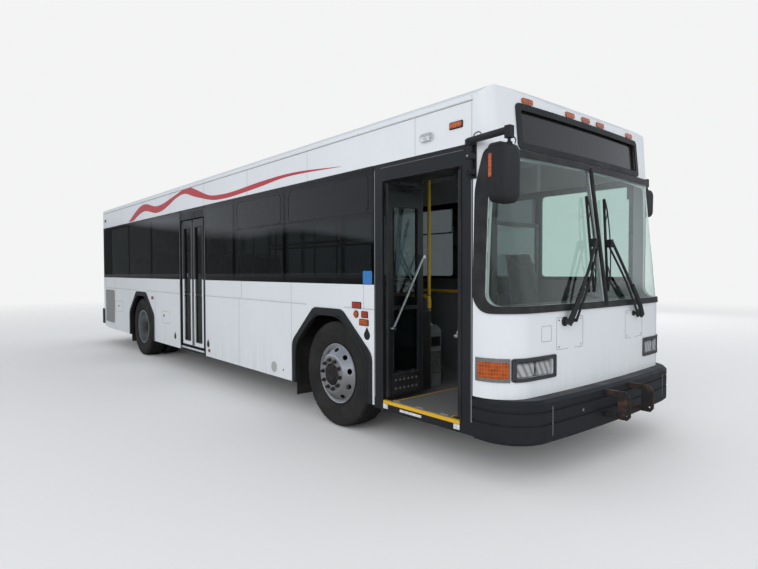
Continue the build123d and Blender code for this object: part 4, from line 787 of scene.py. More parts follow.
def side_seams(side, name):
    """Panel joints: the level seam, which breaks at the arches and doors, uprights and the roof's joint."""
    form = Form(SEAM)
    skin_of = sides[side]
    # Reach, foot, head
    uprights = [
        (-7.78, SKIRT_Z, SASH_Z), (-0.775, SKIRT_Z, SASH_Z), (-5.28, SKIRT_Z, SEAM_Z), (-6.76, 0.35, SEAM_Z),
        (-1.98, SEAM_Z, SASH_Z), (0.50, SEAM_Z, SASH_Z), (-2.05, SKIRT_Z, SEAM_Z),
    ]
    if side == CURB:
        stretches = (
            (TAIL, REAR_ARCH[0]), (REAR_ARCH[1], REAR_DOORWAY[0]), (REAR_DOORWAY[1], FRONT_ARCH[0]),
            (FRONT_ARCH[1], FRONT_DOORWAY[0]),
        )
    else:
        stretches = ((TAIL, REAR_ARCH[0]), (REAR_ARCH[1], FRONT_ARCH[0]), (FRONT_ARCH[1], NOSE))
        uprights += [
            (-3.30, SKIRT_Z, SASH_Z), (-4.60, SKIRT_Z, SEAM_Z), (0.70, SKIRT_Z, SASH_Z),
            (-6.0, SEAM_Z, SASH_Z),
        ]
    for start, end in stretches:
        line(form, level(SEAM_Z, start, end), skin_of, 0.0035)
        line(form, level(SEAM_Z + 0.009, start, end), skin_of, 0.0012)
    for reach, low, high in uprights:
        line(form, upright(reach, low, high), skin_of, 0.003)
    for reach in (-7.30, -5.92, -4.52, -3.15, -1.80, -0.44, 1.18):
        line(form, upright(reach, 2.493, RAIL_Z), skin_of, 0.0022)
    line(form, level(RAIL_Z, TAIL, NOSE), skin_of, 0.003)
    line(form, upright(1.778, 2.50, 2.84), skin_of, 0.0025)
    form.done(f"side_seams_{name}")


def side_rivets(side, name):
    """Screw heads along the panel seams."""
    form = Form(PALE_GREY)
    pitch, radius = 0.11, 0.0042
    middles = ((-5.70, -4.2), (-3.05, -0.55)) if side == CURB else ((-5.70, -0.55),)
    for start, end in ((-8.5, -6.45), *middles):
        for reach in steps_between(start, end, int((end - start) / pitch)):
            pad(form, circle(reach, SEAM_Z + 0.0225, radius, 6), sides[side], 0.0016)
    form.done(f"side_rivets_{name}")


def roof_rail(side, name):
    """The bright rounded rail over the roof seam."""
    form = Form(WHITE)
    profile = (
        (0.0, -0.011), (0.006, -0.0095), (0.0105, -0.004), (0.0105, 0.005), (0.006, 0.0105), (0.0, 0.012),
    )
    form.skin([
        [(at(reach), side * (half + out - 0.001), 2.813 + up) for out, up in profile]
        for reach in (TAIL, NOSE)
    ])
    form.done(f"roof_rail_{name}")


def side_hatches(side, name):
    """Flush hatches of the lower side, with their latches."""
    form = Form(SEAM, STAINLESS, BLACK)
    skin_of = sides[side]
    # Rear, front, foot, head, latch reach, latch height
    hatches = [(-7.79, -7.25, 0.735, 0.950, -7.53, 0.845), (-4.94, -4.57, 0.690, 0.885, -4.85, 0.813)]
    if side == STREET:
        hatches += [
            (-4.2, -3.4, 0.42, 1.08, -3.5, 0.75), (-2.6, -1.6, 0.42, 1.08, -1.7, 0.75),
            (0.95, 1.55, 0.55, 1.10, 1.50, 0.82),
        ]
    for rear, front, foot, head, x, z in hatches:
        line(form, rounded(rear, front, foot, head, 0.018), skin_of, 0.0035, closed=True)
        pad(form, circle(x, z, 0.024), skin_of, 0.003, 2)
        pad(form, rounded(x - 0.012, x + 0.012, z - 0.003, z + 0.003, 0.002), skin_of, 0.005, 1)
    form.done(f"side_hatches_{name}")


def engine_grille(side, name):
    """The perforated screen over the engine bay's louvres, in a thin frame."""
    form = Form(PERFORATED, STAINLESS)
    outline = rounded(-8.50, -7.85, 0.485, 1.155, 0.012)
    pad(form, outline, sides[side], 0.003)
    line(form, outline, sides[side], 0.012, 0.005, closed=True, look=1)
    form.done(f"engine_grille_{name}")


def side_marks(side, name):
    """A round cover with its plug, and the black drops that mark the jacking places."""
    form = Form(SEAM, BLACK, PALE_GREY)
    skin_of = sides[side]
    line(form, circle(-1.163, 0.445, 0.06), skin_of, 0.0035, closed=True)
    pad(form, circle(-1.163, 0.445, 0.057), skin_of, 0.0006, 2)
    pad(form, circle(-0.956, 0.436, 0.012), skin_of, 0.001, 1)
    drop_radius, drop_point = 0.044, 0.077
    for reach, z in ((-4.335, 0.510), (-3.037, 0.515), (0.547, 0.962)):
        drop = [(reach, z + drop_point)]
        for k in range(17):
            turn = math.radians(20 - 220 * k / 16)
            drop.append((reach + drop_radius * math.cos(turn), z + drop_radius * math.sin(turn)))
        pad(form, drop, skin_of, 0.001, 1)
    form.done(f"side_marks_{name}")


def side_lamps(side, name):
    """Marker, turn and signal lamps, each in a black bezel, and the courtesy lamp over the front door."""
    form = Form(AMBER, RED_LENS, BLACK, WHITE_LENS, CHROME)
    skin_of = sides[side]

    def lamp(x0, x1, z0, z1, look, height=0.010):
        bezel = rounded(x0 - 0.007, x1 + 0.007, z0 - 0.007, z1 + 0.007, 0.010)
        pad(form, bezel, skin_of, height * 0.45, 2)
        pad(form, rounded(x0, x1, z0, z1, 0.009), skin_of, height, look)

    lamp(1.565, 1.687, 2.630, 2.672, 0, 0.014)
    lamp(-8.52, -8.44, 2.628, 2.668, 1, 0.014)
    lamp(-3.02, -2.975, 0.414, 0.442, 0)
    lamp(0.330, 0.458, 1.206, 1.256, 1)
    lamp(0.470, 0.556, 1.124, 1.174, 1)
    lamp(0.440, 0.566, 1.052, 1.100, 0)
    pad(form, circle(0.388, 1.147, 0.036), skin_of, 0.006, 2)
    pad(form, circle(0.388, 1.147, 0.030), skin_of, 0.013, 0)
    lamp(-5.475, -5.385, 1.068, 1.108, 0)
    if side == CURB:
        pad(form, rounded(1.25, 1.39, 2.585, 2.645, 0.026), skin_of, 0.020, 4)
        pad(form, rounded(1.268, 1.372, 2.583, 2.618, 0.014), skin_of, 0.030, 3)
    form.done(f"side_lamps_{name}", bevel=0.002)


for dress in (
    wave_stripe, side_seams, side_rivets, roof_rail, side_hatches, engine_grille, side_marks, side_lamps,
):
    for side, name in BOTH_SIDES:
        dress(side, name)

sticker = Form(BLUE)
pad(sticker, rounded(0.49, 0.62, 1.43, 1.55, 0.006), sides[CURB], 0.0012)
sticker.done("blank_sticker")

# Rings round the panes that tilt open: each pane's rear and front reach
STREET_JOINTS = (0.65, -0.66, -1.97, -3.28, -4.59, -5.90)
VENTS = {
    CURB: ((-2.10, -1.00), (-0.83, 0.56)),
    STREET: tuple((rear + 0.09, front - 0.09) for front, rear in zip(STREET_JOINTS, STREET_JOINTS[1:])),
}
for side, name in BOTH_SIDES:
    form = Form(BAND)
    for rear, front in VENTS[side]:
        line(form, rounded(rear, front, 2.088, 2.42, 0.05, 6), sides[side], 0.012, 0.0022, closed=True)
    form.done(f"vent_rings_{name}")


# Arches: the rolled lip inside each trim

def arch_lip(side, axle, reaches, name):
    """reaches: how far the lip goes back and forward of the axle, at its feet and along its flat head."""
    back, front, flat_back, flat_front = reaches
    points = [
        (-back, SKIRT_Z), (-back, 0.765), (-flat_back, 1.113),
        (flat_front, 1.113), (front, 0.765), (front, SKIRT_Z),
    ]
    form = Form(BLACK)
    form.tube(bent([(axle + x, side * (half + 0.010), z) for x, z in points], 0.15, 8), 0.009, sides=8)
    form.done(name)


FRONT_LIP, REAR_LIP = (0.682, 0.556, 0.30, 0.14), (0.575, 0.725, 0.18, 0.32)
for side, name in BOTH_SIDES:
    arch_lip(side, front_axle.x, FRONT_LIP, f"arch_lip_front_{name}")
    arch_lip(side, rear_axle_x, REAR_LIP, f"arch_lip_rear_{name}")


# Wheels

# Half the tyre's section: across from its middle, and radius
TREAD_HALF = (
    (0.0, 0.527), (0.022, 0.527), (0.0245, 0.515), (0.0335, 0.515), (0.036, 0.527), (0.066, 0.5265),
    (0.0685, 0.515), (0.0775, 0.515), (0.080, 0.526), (0.106, 0.5235), (0.122, 0.5185), (0.131, 0.507),
    (0.136, 0.492), (0.139, 0.470), (0.141, 0.445), (0.1405, 0.436), (0.1385, 0.432), (0.1395, 0.405),
    (0.1375, 0.398), (0.135, 0.372), (0.128, 0.347), (0.120, 0.331), (0.117, 0.318), (0.1105, 0.312),
    (0.109, 0.300), (0.109, 0.291),
)
# Ribs of the shoulder that are notched: width across, and depth of the notch
NOTCHED = ((0.085, 0.137, 0.007), (0.038, 0.064, 0.0025))


def tyre(form, x, y, notches=60):
    """A tyre about an axle at x, its middle at y. The last quarter of each pitch of its tread is notched."""
    profile = [(-across, radius) for across, radius in TREAD_HALF[::-1]] + list(TREAD_HALF[1:])
    rings = []
    for k, turn in enumerate(round_turns(notches * 4)):
        ring = []
        for across, radius in profile:
            if k % 4 == 3:
                radius -= sum(depth for low, high, depth in NOTCHED if low < abs(across) < high)
            ring.append((x + radius * math.sin(turn), y + across, tyre_radius + radius * math.cos(turn)))
        rings.append(ring)
    form.skin(rings, around=True)


# The ring of wheel nuts: its radius, its turn in steps of one nut, and a nut's half width
NUT_COUNT, NUT_CIRCLE, NUT_PHASE, NUT_SIZE = 10, 0.143, 0.833, 0.0165


def hexagon(form, spot, side, radius, height, look):
    """A hexagonal head that stands out sideways from a spot."""
    x, y, z = spot
    form.prism([(u, y, v) for u, v in circle(x, z, radius, 6)], (0, side * height, 0), look)


def nuts(form, x, y, side):
    """A ring of wheel nuts on a face at y, with their washers and studs."""
    for k in range(NUT_COUNT):
        turn = 2 * math.pi * (k + NUT_PHASE) / NUT_COUNT
        cx, cz = x + NUT_CIRCLE * math.cos(turn), tyre_radius + NUT_CIRCLE * math.sin(turn)
        washer = NUT_SIZE * 1.35
        form.lathe([(0, 0), (0, washer), (0.005, washer), (0.006, 0)], (cx, y, cz), (0, side, 0), 1, 14)
        hexagon(form, (cx, y + side * 0.005, cz), side, NUT_SIZE, 0.020, 1)
        stud = ((0.025, 0), (0.025, 0.009), (0.036, 0.009), (0.038, 0.007), (0.038, 0))
        form.lathe(stud, (cx, y, cz), (0, side, 0), 1, 10)


def bolts(form, x, y, side, count, circle_radius, height, look):
    """A ring of small hexagonal bolts."""
    for turn in round_turns(count):
        spot = (x + circle_radius * math.cos(turn), y, tyre_radius + circle_radius * math.sin(turn))
        hexagon(form, spot, side, 0.0075, height, look)


# How far the outer tyres stand in from the skin, half their width, and how far inboard the inner ones are
TYRE_SETBACK, TYRE_HALF_WIDTH, TWIN_PITCH = 0.036, 0.141, 0.330
wheel_y = half - TYRE_SETBACK - TYRE_HALF_WIDTH
# Along the axle outward from the tyre's middle, and radius: face, then back
STEER_RIM = (
    (0.117, 0.2985), (0.121, 0.2975), (0.122, 0.292), (0.119, 0.2865), (0.112, 0.283), (0.113, 0.274),
    (0.122, 0.264), (0.136, 0.250), (0.150, 0.234), (0.164, 0.216), (0.176, 0.202), (0.184, 0.193),
    (0.187, 0.183), (0.187, 0.110), (0.165, 0.110), (0.165, 0.186), (0.156, 0.196), (0.142, 0.214),
    (0.128, 0.232), (0.112, 0.246), (0.094, 0.254), (0.070, 0.256), (0.030, 0.254), (-0.090, 0.270),
    (-0.112, 0.278), (-0.119, 0.2865), (-0.121, 0.2975), (-0.117, 0.2985), (-0.112, 0.290), (-0.092, 0.2855),
    (-0.060, 0.2855), (-0.035, 0.264), (0.030, 0.264), (0.060, 0.2855), (0.095, 0.2855), (0.112, 0.290),
)
FRONT_HUB = (
    (0.110, 0.0), (0.110, 0.103), (0.184, 0.103), (0.190, 0.098), (0.191, 0.078), (0.195, 0.073),
    (0.203, 0.070), (0.206, 0.064), (0.207, 0.050), (0.204, 0.045), (0.204, 0.0),
)
# Where the rear nuts stand, inboard of the outer tyre's middle
REAR_FACE = -0.143
REAR_HUB = (
    (REAR_FACE, 0.0), (REAR_FACE, 0.108), (0.0, 0.104), (0.017, 0.099), (0.033, 0.074), (0.037, 0.068),
    (0.040, 0.056), (0.041, 0.0),
)
# Where the front nuts stand, and the ring of hand holes
FRONT_FACE = 0.187
HAND_HOLES, HAND_HOLE_RADIUS, HOLE_PHASE = 10, 0.240, 0.333


def hand_hole_tool(y, side):
    """The oval plugs that cut the hand holes through the steered axle's rim."""
    cutter = Form()
    for k in range(HAND_HOLES):
        turn = 2 * math.pi * (k + HOLE_PHASE) / HAND_HOLES
        ray = Vector((math.cos(turn), 0, math.sin(turn)))
        along = Vector((-math.sin(turn), 0, math.cos(turn)))
        slope = (ray * 0.62 + Vector((0, side * 0.78, 0))).normalized()
        up = slope.cross(along)
        middle = Vector((front_axle.x, y + side * 0.140, tyre_radius)) + ray * HAND_HOLE_RADIUS
        oval = [middle + along * 0.0290 * math.cos(t) + up * 0.0245 * math.sin(t) for t in round_turns(24)]
        cutter.prism([point - slope * 0.035 for point in oval], slope * 0.09)
    mesh = bpy.data.meshes.new("hand_holes")
    bmesh.ops.recalc_face_normals(cutter.shape, faces=cutter.shape.faces)
    cutter.shape.to_mesh(mesh)
    cutter.shape.free()
    tool = bpy.data.objects.new("hand_holes", mesh)
    bpy.context.collection.objects.link(tool)
    return tool


def steer_rim(side, y, name):
    """The outset wheel of the steered axle, with its hand holes cut through."""
    form = Form(ALLOY)
    form.lathe(STEER_RIM, (front_axle.x, y, tyre_radius), (0, side, 0), 0, 120)
    rim = form.done(f"steer_rim_{name}", f"front_wheel_{name}", sharp=32)
    tool = hand_hole_tool(y, side)
    holes = rim.modifiers.new("hand_holes", "BOOLEAN")
    holes.object = tool
    holes.operation = "DIFFERENCE"
    holes.solver = "EXACT"
    bevel_edges(rim, 0.0016, 50)
    bpy.context.view_layer.update()
    finished = bpy.data.meshes.new_from_object(rim.evaluated_get(bpy.context.evaluated_depsgraph_get()))
    rim.modifiers.clear()
    rim.data = finished
    bpy.data.objects.remove(tool)
    finished.set_sharp_from_angle(angle=math.radians(32))
    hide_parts(f"front_rim_{name}")


for side, name in BOTH_SIDES:
    y = side * wheel_y
    form = Form(TYRE)
    tyre(form, front_axle.x, y)
    piece = form.done(f"front_tread_{name}", f"front_wheel_{name}", sharp=28)
    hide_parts(f"front_tyre_{name}")

    form = Form(TYRE)
    tyre(form, rear_axle_x, y)
    tyre(form, rear_axle_x, side * (wheel_y - TWIN_PITCH))
    piece = form.done(f"rear_treads_{name}", f"rear_wheels_{name}", sharp=28)
    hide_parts(f"rear_tyres_{name}")

    steer_rim(side, y, name)

    form = Form(HUB_DARK, NUT)
    nuts(form, front_axle.x, y + side * FRONT_FACE, side)
    form.lathe(FRONT_HUB, (front_axle.x, y, tyre_radius), (0, side, 0), 0, 36)
    bolts(form, front_axle.x, y + side * 0.189, side, 6, 0.088, 0.008, 1)
    form.done(f"front_hub_{name}", f"front_wheel_{name}")

    # The rear nuts stand on the dished disc
    form = Form(HUB_DARK, NUT)
    nuts(form, rear_axle_x, y + side * REAR_FACE, side)
    form.lathe(REAR_HUB, (rear_axle_x, y, tyre_radius), (0, side, 0), 0, 36)
    bolts(form, rear_axle_x, y + side * 0.014, side, 8, 0.086, 0.012, 0)
    form.done(f"rear_hub_{name}", f"rear_wheels_{name}")


# Front: seams of the access panels, blank plate outline, bumper joints, lamp screws

form = Form(SEAM, STAINLESS)
for side in (CURB, STREET):
    inner, outer = side * 0.362, side * 0.720
    line(form, rounded(inner, outer, 0.946, 1.19, 0.012), mask_skin, 0.0032, closed=True)
    for u in (inner + side * 0.03, outer - side * 0.03):
        for v in (0.966, 1.170):
            pad(form, circle(u, v, 0.007, 10), mask_skin, 0.002, 1)
line(form, rounded(-0.904, -0.786, 1.02, 1.136, 0.008), mask_skin, 0.003, closed=True)
form.done("front_seams")

form = Form(SEAM, STAINLESS)
for y in (0.93, -0.93):
    line(form, upright(y, 0.305, 0.62, 6), bumper_skin, 0.006)
for y in (-0.55, 0.55):
    pad(form, circle(y, 0.485, 0.014, 14), bumper_skin, 0.004, 1)
form.done("bumper_seams")

form = Form(BLACK)
for side in (CURB, STREET):
    for y in (0.748, 1.172):
        for z in (0.759, 0.905):
            pad(form, circle(side * y, z, 0.0055, 10), headlamp_skin, 0.003)
form.done("lamp_screws")


# Doors: looks of the leaves by the places of their faces, and their rubber edges, beads and kick plates

def doorway(low_reach, high_reach, post):
    """X of the posts' inner faces."""
    return at(low_reach) + post, at(high_reach) - post


front_posts = doorway(*FRONT_DOORWAY, 0.122)
rear_posts = doorway(*REAR_DOORWAY, 0.052)
LEAF_HEAD_Z = 2.321
# Half the thickness of a leaf and of its rubber edges
LEAF_HALF, RUBBER_HALF = 0.019, 0.0205
# From a post to its pole, from the skin in to the pole, the gap where the leaves meet,
# and how much of half an opening the two leaves' swing doesn't take
POLE_OFF, POLE_IN, LEAF_GAP, SWING_SPARE = 0.025, 0.033, 0.003, 0.039


def leaf_frame(name):
    """A leaf at rest: its middle, the ways out and to its meeting edge, and half its width."""
    posts = front_posts if name.startswith("front") else rear_posts
    rear_leaf = name.endswith("rear")
    span_half = (posts[1] - posts[0]) / 2
    swing = (span_half - SWING_SPARE) / 2
    reach = span_half - POLE_OFF - swing - LEAF_GAP
    pole_x = posts[0] + POLE_OFF + swing if rear_leaf else posts[1] - POLE_OFF - swing
    pole = Vector((pole_x, -half + POLE_IN + swing, 0))
    lead = Vector((1 if rear_leaf else -1, 0, 0))
    out = Vector((0, -1, 0))
    if name.startswith("front"):
        turn = Matrix.Rotation(math.radians(-90 if rear_leaf else 90), 3, "Z")
        lead, out = turn @ lead, turn @ out
    return pole + out * swing, out, lead, reach


def dress_leaf(name):
    """Gives the CAD leaf its looks face by face, and adds what is too fine for the CAD."""
    middle, out, lead, reach = leaf_frame(name)
    front_leaf = name.startswith("front")
    looks = (CHARCOAL, DOOR_GLASS) if front_leaf else (REAR_LEAF, SIDE_GLASS)

    def leaf_face(place, normal):
        """The pane in the middle, the poles and arms inside, or the leaf's frame."""
        depth = (place - middle).dot(out)
        if abs(normal.dot(out)) > 0.9 and abs(depth) < 0.005:
            return 1
        if depth < -0.021:
            return 3 if place.z > 2.2 else 2
        return 0

    faces_of(name, (*looks, STAINLESS, BLACK), leaf_face)

    def spot(along, depth, z):
        return middle + lead * along + out * depth + Vector((0, 0, z))

    def skin_of(along, z):
        return spot(along, LEAF_HALF, z), out

    def inner_skin(along, z):
        return spot(along, -LEAF_HALF, z), -out

    def strip(section, low, high):
        """An upright rubber of one section."""
        form.skin([[spot(along, depth, z) for along, depth in section] for z in (low, high)], 0)

    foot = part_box(name)[0].z
    if front_leaf:
        stile, edge, brush, rails = 0.066, 0.022, 0.011, ((0.640, 1.205), (1.235, 2.120))
    else:
        stile, edge, brush, rails = 0.100, 0.036, 0.022, ((0.500, 1.190), (1.220, 2.200))
    form = Form(GASKET, SEAM, STAINLESS, PALE_GREY)
    # Rubber nose on the meeting edge, rubber on the post's edge, and a brush along the foot
    nose = [(reach - edge, RUBBER_HALF), (reach - 0.004, RUBBER_HALF), (reach + 0.0015, 0.012)]
    strip(nose + [(along, -depth) for along, depth in nose[::-1]], foot + 0.002, LEAF_HEAD_Z - 0.002)
    post_edge = [(along - reach, depth) for along, depth in (
        (0.012, 0.020), (-0.001, 0.020), (-0.001, -0.020), (0.012, -0.020))]
    strip(post_edge, foot + 0.002, LEAF_HEAD_Z - 0.002)
    strip([(-reach, 0.006), (reach, 0.006), (reach, -0.006), (-reach, -0.006)], foot, foot - brush)
    # Glazing beads
    inset = stile - 0.004
    for low, high in rails:
        ring = rounded(-reach + inset, reach - inset, low - 0.004, high + 0.004, 0.018, 5)
        for side_of in (skin_of, inner_skin):
            line(form, ring, side_of, 0.010, 0.0035, closed=True)
    if front_leaf:
        # Kick plate with two rows of holes under a bright edge
        pad(form, rounded(-reach + 0.05, reach - 0.05, 0.455, 0.620, 0.01), inner_skin, 0.0015, 0)
        line(form, level(0.632, -reach + 0.05, reach - 0.05), inner_skin, 0.008, 0.004, look=2)
        for k in range(6):
            u = -reach + 0.09 + k * (2 * reach - 0.18) / 5
            for z in (0.50, 0.575):
                pad(form, circle(u, z, 0.010, 10), inner_skin, 0.0028, 1)
    else:
        for u in (-reach + 0.016, reach - edge - 0.006):
            line(form, upright(u, 1.44, 2.29), skin_of, 0.0035, 0.0012, look=3)
        if name.endswith("rear"):
            # The lock's plate
            pad(form, rounded(0.000, 0.040, 1.470, 1.520, 0.008), skin_of, 0.004, 2)
    for z in (0.47, 1.20, 2.26):
        for u in (-reach + 0.030, reach - edge - 0.02):
            pad(form, circle(u, z, 0.006, 10), skin_of, 0.002, 2)
    form.done(f"{name}_trim", name)


for name in ("front_door_leaf_front", "front_door_leaf_rear", "rear_door_leaf_front", "rear_door_leaf_rear"):
    dress_leaf(name)


# Doorways: threshold and its lamps, edges of the ramp, rubber seals and joints of the posts

form = Form(RAMP, YELLOW_EDGE, WHITE_LENS)
x0, x1 = front_posts
SILL_TOP = 0.4085
# Rear and front x, places out from the skin, foot and head, look
for rear, front, inner, outer, foot, head, look in (
    (x0 + 0.004, x1 - 0.004, -0.030, -0.002, 0.4052, SILL_TOP, 1),
    (x0 + 0.004, x1 - 0.004, -0.003, 0.003, 0.380, SILL_TOP, 1),
    (x0 + 0.004, x0 + 0.064, 0, 0.0045, 0.338, 0.378, 2),
    (x1 - 0.064, x1 - 0.004, 0, 0.0045, 0.338, 0.378, 2),
    (x0 + 0.22, x0 + 0.48, 0, 0.004, 0.345, 0.366, 2),
    (rear_posts[0] + 0.01, rear_posts[1] - 0.01, 0, 0.003, 0.372, 0.398, 2),
):
    form.block((rear, -half - outer, foot), (front, -half - inner, head), look)
form.done("door_sill", bevel=0.001)

form = Form(YELLOW_EDGE)
ramp_low, ramp_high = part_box("boarding_ramp")
plate_top, edge_width = 0.414, 0.012
for x in (ramp_low.x + 0.002, ramp_high.x - 0.014):
    form.block(
        (x, -half + 0.030, plate_top - 0.001), (x + edge_width, ramp_high.y - 0.002, plate_top + 0.0016)
    )
form.done("ramp_edges", "boarding_ramp")

form = Form(GASKET, SEAM)
for (x0, x1), post_out in ((front_posts, 0.110), (rear_posts, 0.046)):
    y, foot, head = -half - 0.003, 0.407, 2.339
    seal = [(x0 - 0.006, y, foot), (x0 - 0.006, y, head), (x1 + 0.006, y, head), (x1 + 0.006, y, foot)]
    form.tube(bent(seal, 0.02, 4), 0.0065, 0, 8)
    header = level(2.452, x0 - 0.03 - front_axle.x, x1 + 0.03 - front_axle.x)
    line(form, header, sides[CURB], 0.003, 0.002, look=1)
    for x in (x0 - post_out, x1 + post_out):
        form.block((x - 0.004, -half - 0.0025, 0.42), (x + 0.004, -half + 0.001, 2.44), 1)
form.done("door_frame_trim")


# Windshield: divider and wipers

form = Form(GASKET)
path = [front_skin(0.0, z)[0] + Vector((0.004, 0, 0)) for z in steps_between(1.262, 2.425, 14)]
form.tube(path, 0.013, sides=10, flat=0.7)
form.done("screen_divider")


BAR_SECTION = ((1, 0.4), (0.6, 1), (-0.6, 1), (-1, 0.4), (-1, -0.4), (-0.6, -1), (0.6, -1), (1, -0.4))


def bar(form, path, widths, thick, face, look=0):
    """A flat bar along a path, turned to a facing direction; its width changes evenly from end to end."""
    last = len(path) - 1
    rings = []
    for i, point in enumerate(path):
        ahead = (path[min(i + 1, last)] - path[max(i - 1, 0)]).normalized()
        across = ahead.cross(face).normalized()
        up = across.cross(ahead)
        width = widths[0] + (widths[1] - widths[0]) * i / last
        rings.append([point + across * u * width / 2 + up * v * thick / 2 for u, v in BAR_SECTION])
    form.skin(rings, look)


# A blade's foot and head: heights, and places across
BLADE_Z = (1.370, 2.170)
BLADE_Y = {CURB: (-0.190, -0.135), STREET: (0.035, 0.165)}
# Off the middle, height, boss radius
PIVOTS = ((0.620, 1.158, 0.030), (0.520, 1.164, 0.020))


def wiper(form, side):
    """Two rods from their pivots to a sprung blade, parked beside the middle."""
    face, up = Vector((1, 0, 0)), Vector((0, 0, 1))
    spots = zip(steps_between(*BLADE_Y[side], 12), steps_between(*BLADE_Z, 12))
    blade = [screen_skin(y, z) for y, z in spots]
    place, out = blade[6]
    hold = place + out * 0.072
    feet = []
    for off, z, radius in PIVOTS:
        foot, normal = screen_skin(side * off, z)
        boss = (
            (-0.004, 0.0), (-0.004, radius * 1.25), (0.010, radius * 1.2), (0.016, radius * 0.75),
            (0.044, radius * 0.7), (0.050, radius * 0.4), (0.051, 0),
        )
        form.lathe(boss, foot, normal, 0, 20)
        feet.append(foot + normal * 0.042)
    # The thick rod, in two lengths that meet in a knee, and the slim one
    knee = feet[0] + (hold - feet[0]) * 0.42 + face * 0.020
    lower = [feet[0] - up * 0.018, feet[0] + (knee - feet[0]) * 0.4 + face * 0.008, knee]
    bar(form, curve(lower, 5), (0.064, 0.044), 0.028, face)
    upper = [knee - face * 0.004, (knee + hold) / 2 + face * 0.006, hold + up * 0.030]
    bar(form, curve(upper, 5), (0.034, 0.024), 0.018, face)
    slim_end = hold + Vector((0, -side * 0.030, -0.035))
    slim = [feet[1], (feet[1] + slim_end) / 2 + face * 0.016, slim_end]
    bar(form, curve(slim, 8), (0.024, 0.018), 0.014, face)
    form.block(hold - Vector((0.034, 0.020, 0.034)), hold + Vector((0.008, 0.020, 0.034)), 0)
    # The blade's back and its rubber
    form.tube([p + n * 0.026 for p, n in blade], 0.0075, 0, 8, 0.7)
    rubber = ((0.026, -0.003), (0.026, 0.003), (0.009, 0.001), (0.009, -0.001))
    form.skin([[p + n * lift + Vector((0, across, 0)) for lift, across in rubber] for p, n in blade], 1)
    # A bow over the blade, and the two rockers under it
    bow = ((0, 0.030), (2, 0.050), (6, 0.062), (10, 0.050), (12, 0.030))
    bar(form, curve([blade[k][0] + blade[k][1] * lift for k, lift in bow], 4), (0.013, 0.013), 0.008, face)
    for k in (2, 10):
        place, out = blade[k]
        spots = ((0.028, -0.080), (0.046, 0), (0.028, 0.080))
        rocker = [place + out * lift + up * rise for lift, rise in spots]
        bar(form, curve(rocker, 3), (0.010, 0.010), 0.007, face)


form = Form(BLACK, GASKET)
for side in (CURB, STREET):
    wiper(form, side)
piece = form.done("wiper_sets")
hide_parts("wipers")


# Mirrors

# Side, the head's reach, way out, height of its middle and its own height,
# then the root's reach, foot and top, and the arm's height at the elbow
MIRRORS = (
    (CURB, 2.190, 1.450, 2.195, 0.392, 1.795, 2.240, 2.500, 2.480),
    (STREET, 1.800, 1.500, 2.262, 0.290, 1.735, 2.310, 2.462, 2.486),
)
# Depth from the head's middle, and how far the outline draws in
HEAD_RINGS = (
    (-0.0460, 0.018), (-0.0525, 0.015), (-0.0525, 0.005), (-0.0470, 0.0), (0.018, 0.0), (0.034, 0.005),
    (0.045, 0.017), (0.051, 0.034), (0.0525, 0.055),
)
# Half the head's width, and the square arm's thickness
HEAD_HALF_WIDTH, ARM = 0.125, 0.043


def head_ring(row, depth, inset):
    """The outline of a mirror's head, a little narrower at its foot."""
    side, reach, out, z, height = row[:5]
    middle = side * out
    outline = rounded(
        middle - HEAD_HALF_WIDTH + inset, middle + HEAD_HALF_WIDTH - inset,
        z - height / 2 + inset, z + height / 2 - inset, 0.060 - 0.6 * inset, 6,
    )
    x, top, narrowing = at(reach) + depth, z + height / 2, 0.09
    return [(x, middle + (u - middle) * (1 - narrowing * (top - v) / height), v) for u, v in outline]


def mirror_arm(form, row):
    """Post and clamps on the pillar, the square arm, its elbow and stem, and the heater's cable."""
    side, reach, out, z, height, root, foot, top, elbow = row
    x, y, head_top = at(root), side * (half + 0.040), z + height / 2
    form.tube([(x, y, foot), (x, y, top)], 0.019, 0, 14)
    form.block((x - 0.030, side * half, foot - 0.015), (x + 0.030, side * (half + 0.012), top - 0.02), 0)
    clamp_y = side * (half + 0.066)
    for share, look in ((0.12, 0), (0.55, 2), (0.94, 0)):
        h = foot + (top - foot) * share
        form.block((x - 0.027, side * half, h - 0.020), (x + 0.027, clamp_y, h + 0.020), 0)
        form.lathe([(0, 0), (0, 0.010), (0.006, 0.009), (0.007, 0)], (x, clamp_y, h), (0, side, 0), look, 12)
    start = Vector((x, y, top - 0.004))
    end = Vector((at(reach) + 0.020, side * (out - 0.018), elbow))
    back = (end - start).normalized() * 0.028
    bar(form, [start - back, end], (ARM, ARM), ARM, Vector((0, 0, 1)))
    form.block(end - Vector((0.023, 0.023, 0.056)), end + Vector((0.023, 0.023, 0.026)), 0)
    form.tube([end - Vector((0, 0, 0.05)), (end.x, end.y, head_top - 0.02)], 0.011, 0, 12)
    collar = ((-0.012, 0), (-0.012, 0.024), (0.006, 0.022), (0.012, 0.012), (0.012, 0))
    form.lathe(collar, (end.x, end.y, head_top), (0, 0, 1), 0, 16)
    away = Vector((0.030, side * 0.004, 0))
    loop = [start + away * far + Vector((0, 0, up))
            for far, up in ((1.0, 0.006), (1.6, 0.040), (3.0, 0.046), (3.8, 0.030))]
    clear = end + Vector((0.024, -side * 0.024, -0.05))
    bend = clear + Vector((0.006, -side * 0.006, -0.022))
    drop = [clear, bend, (clear.x + 0.004, clear.y, head_top - 0.004)]
    for cable in (loop, drop):
        form.tube(curve(cable, 6), 0.004, 1, 8)


form = Form(BLACK, GASKET, STAINLESS)
for row in MIRRORS:
    form.skin([head_ring(row, depth, inset) for depth, inset in HEAD_RINGS])
    mirror_arm(form, row)
piece = form.done("mirror_set", bevel=0.0025)
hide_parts("mirrors")

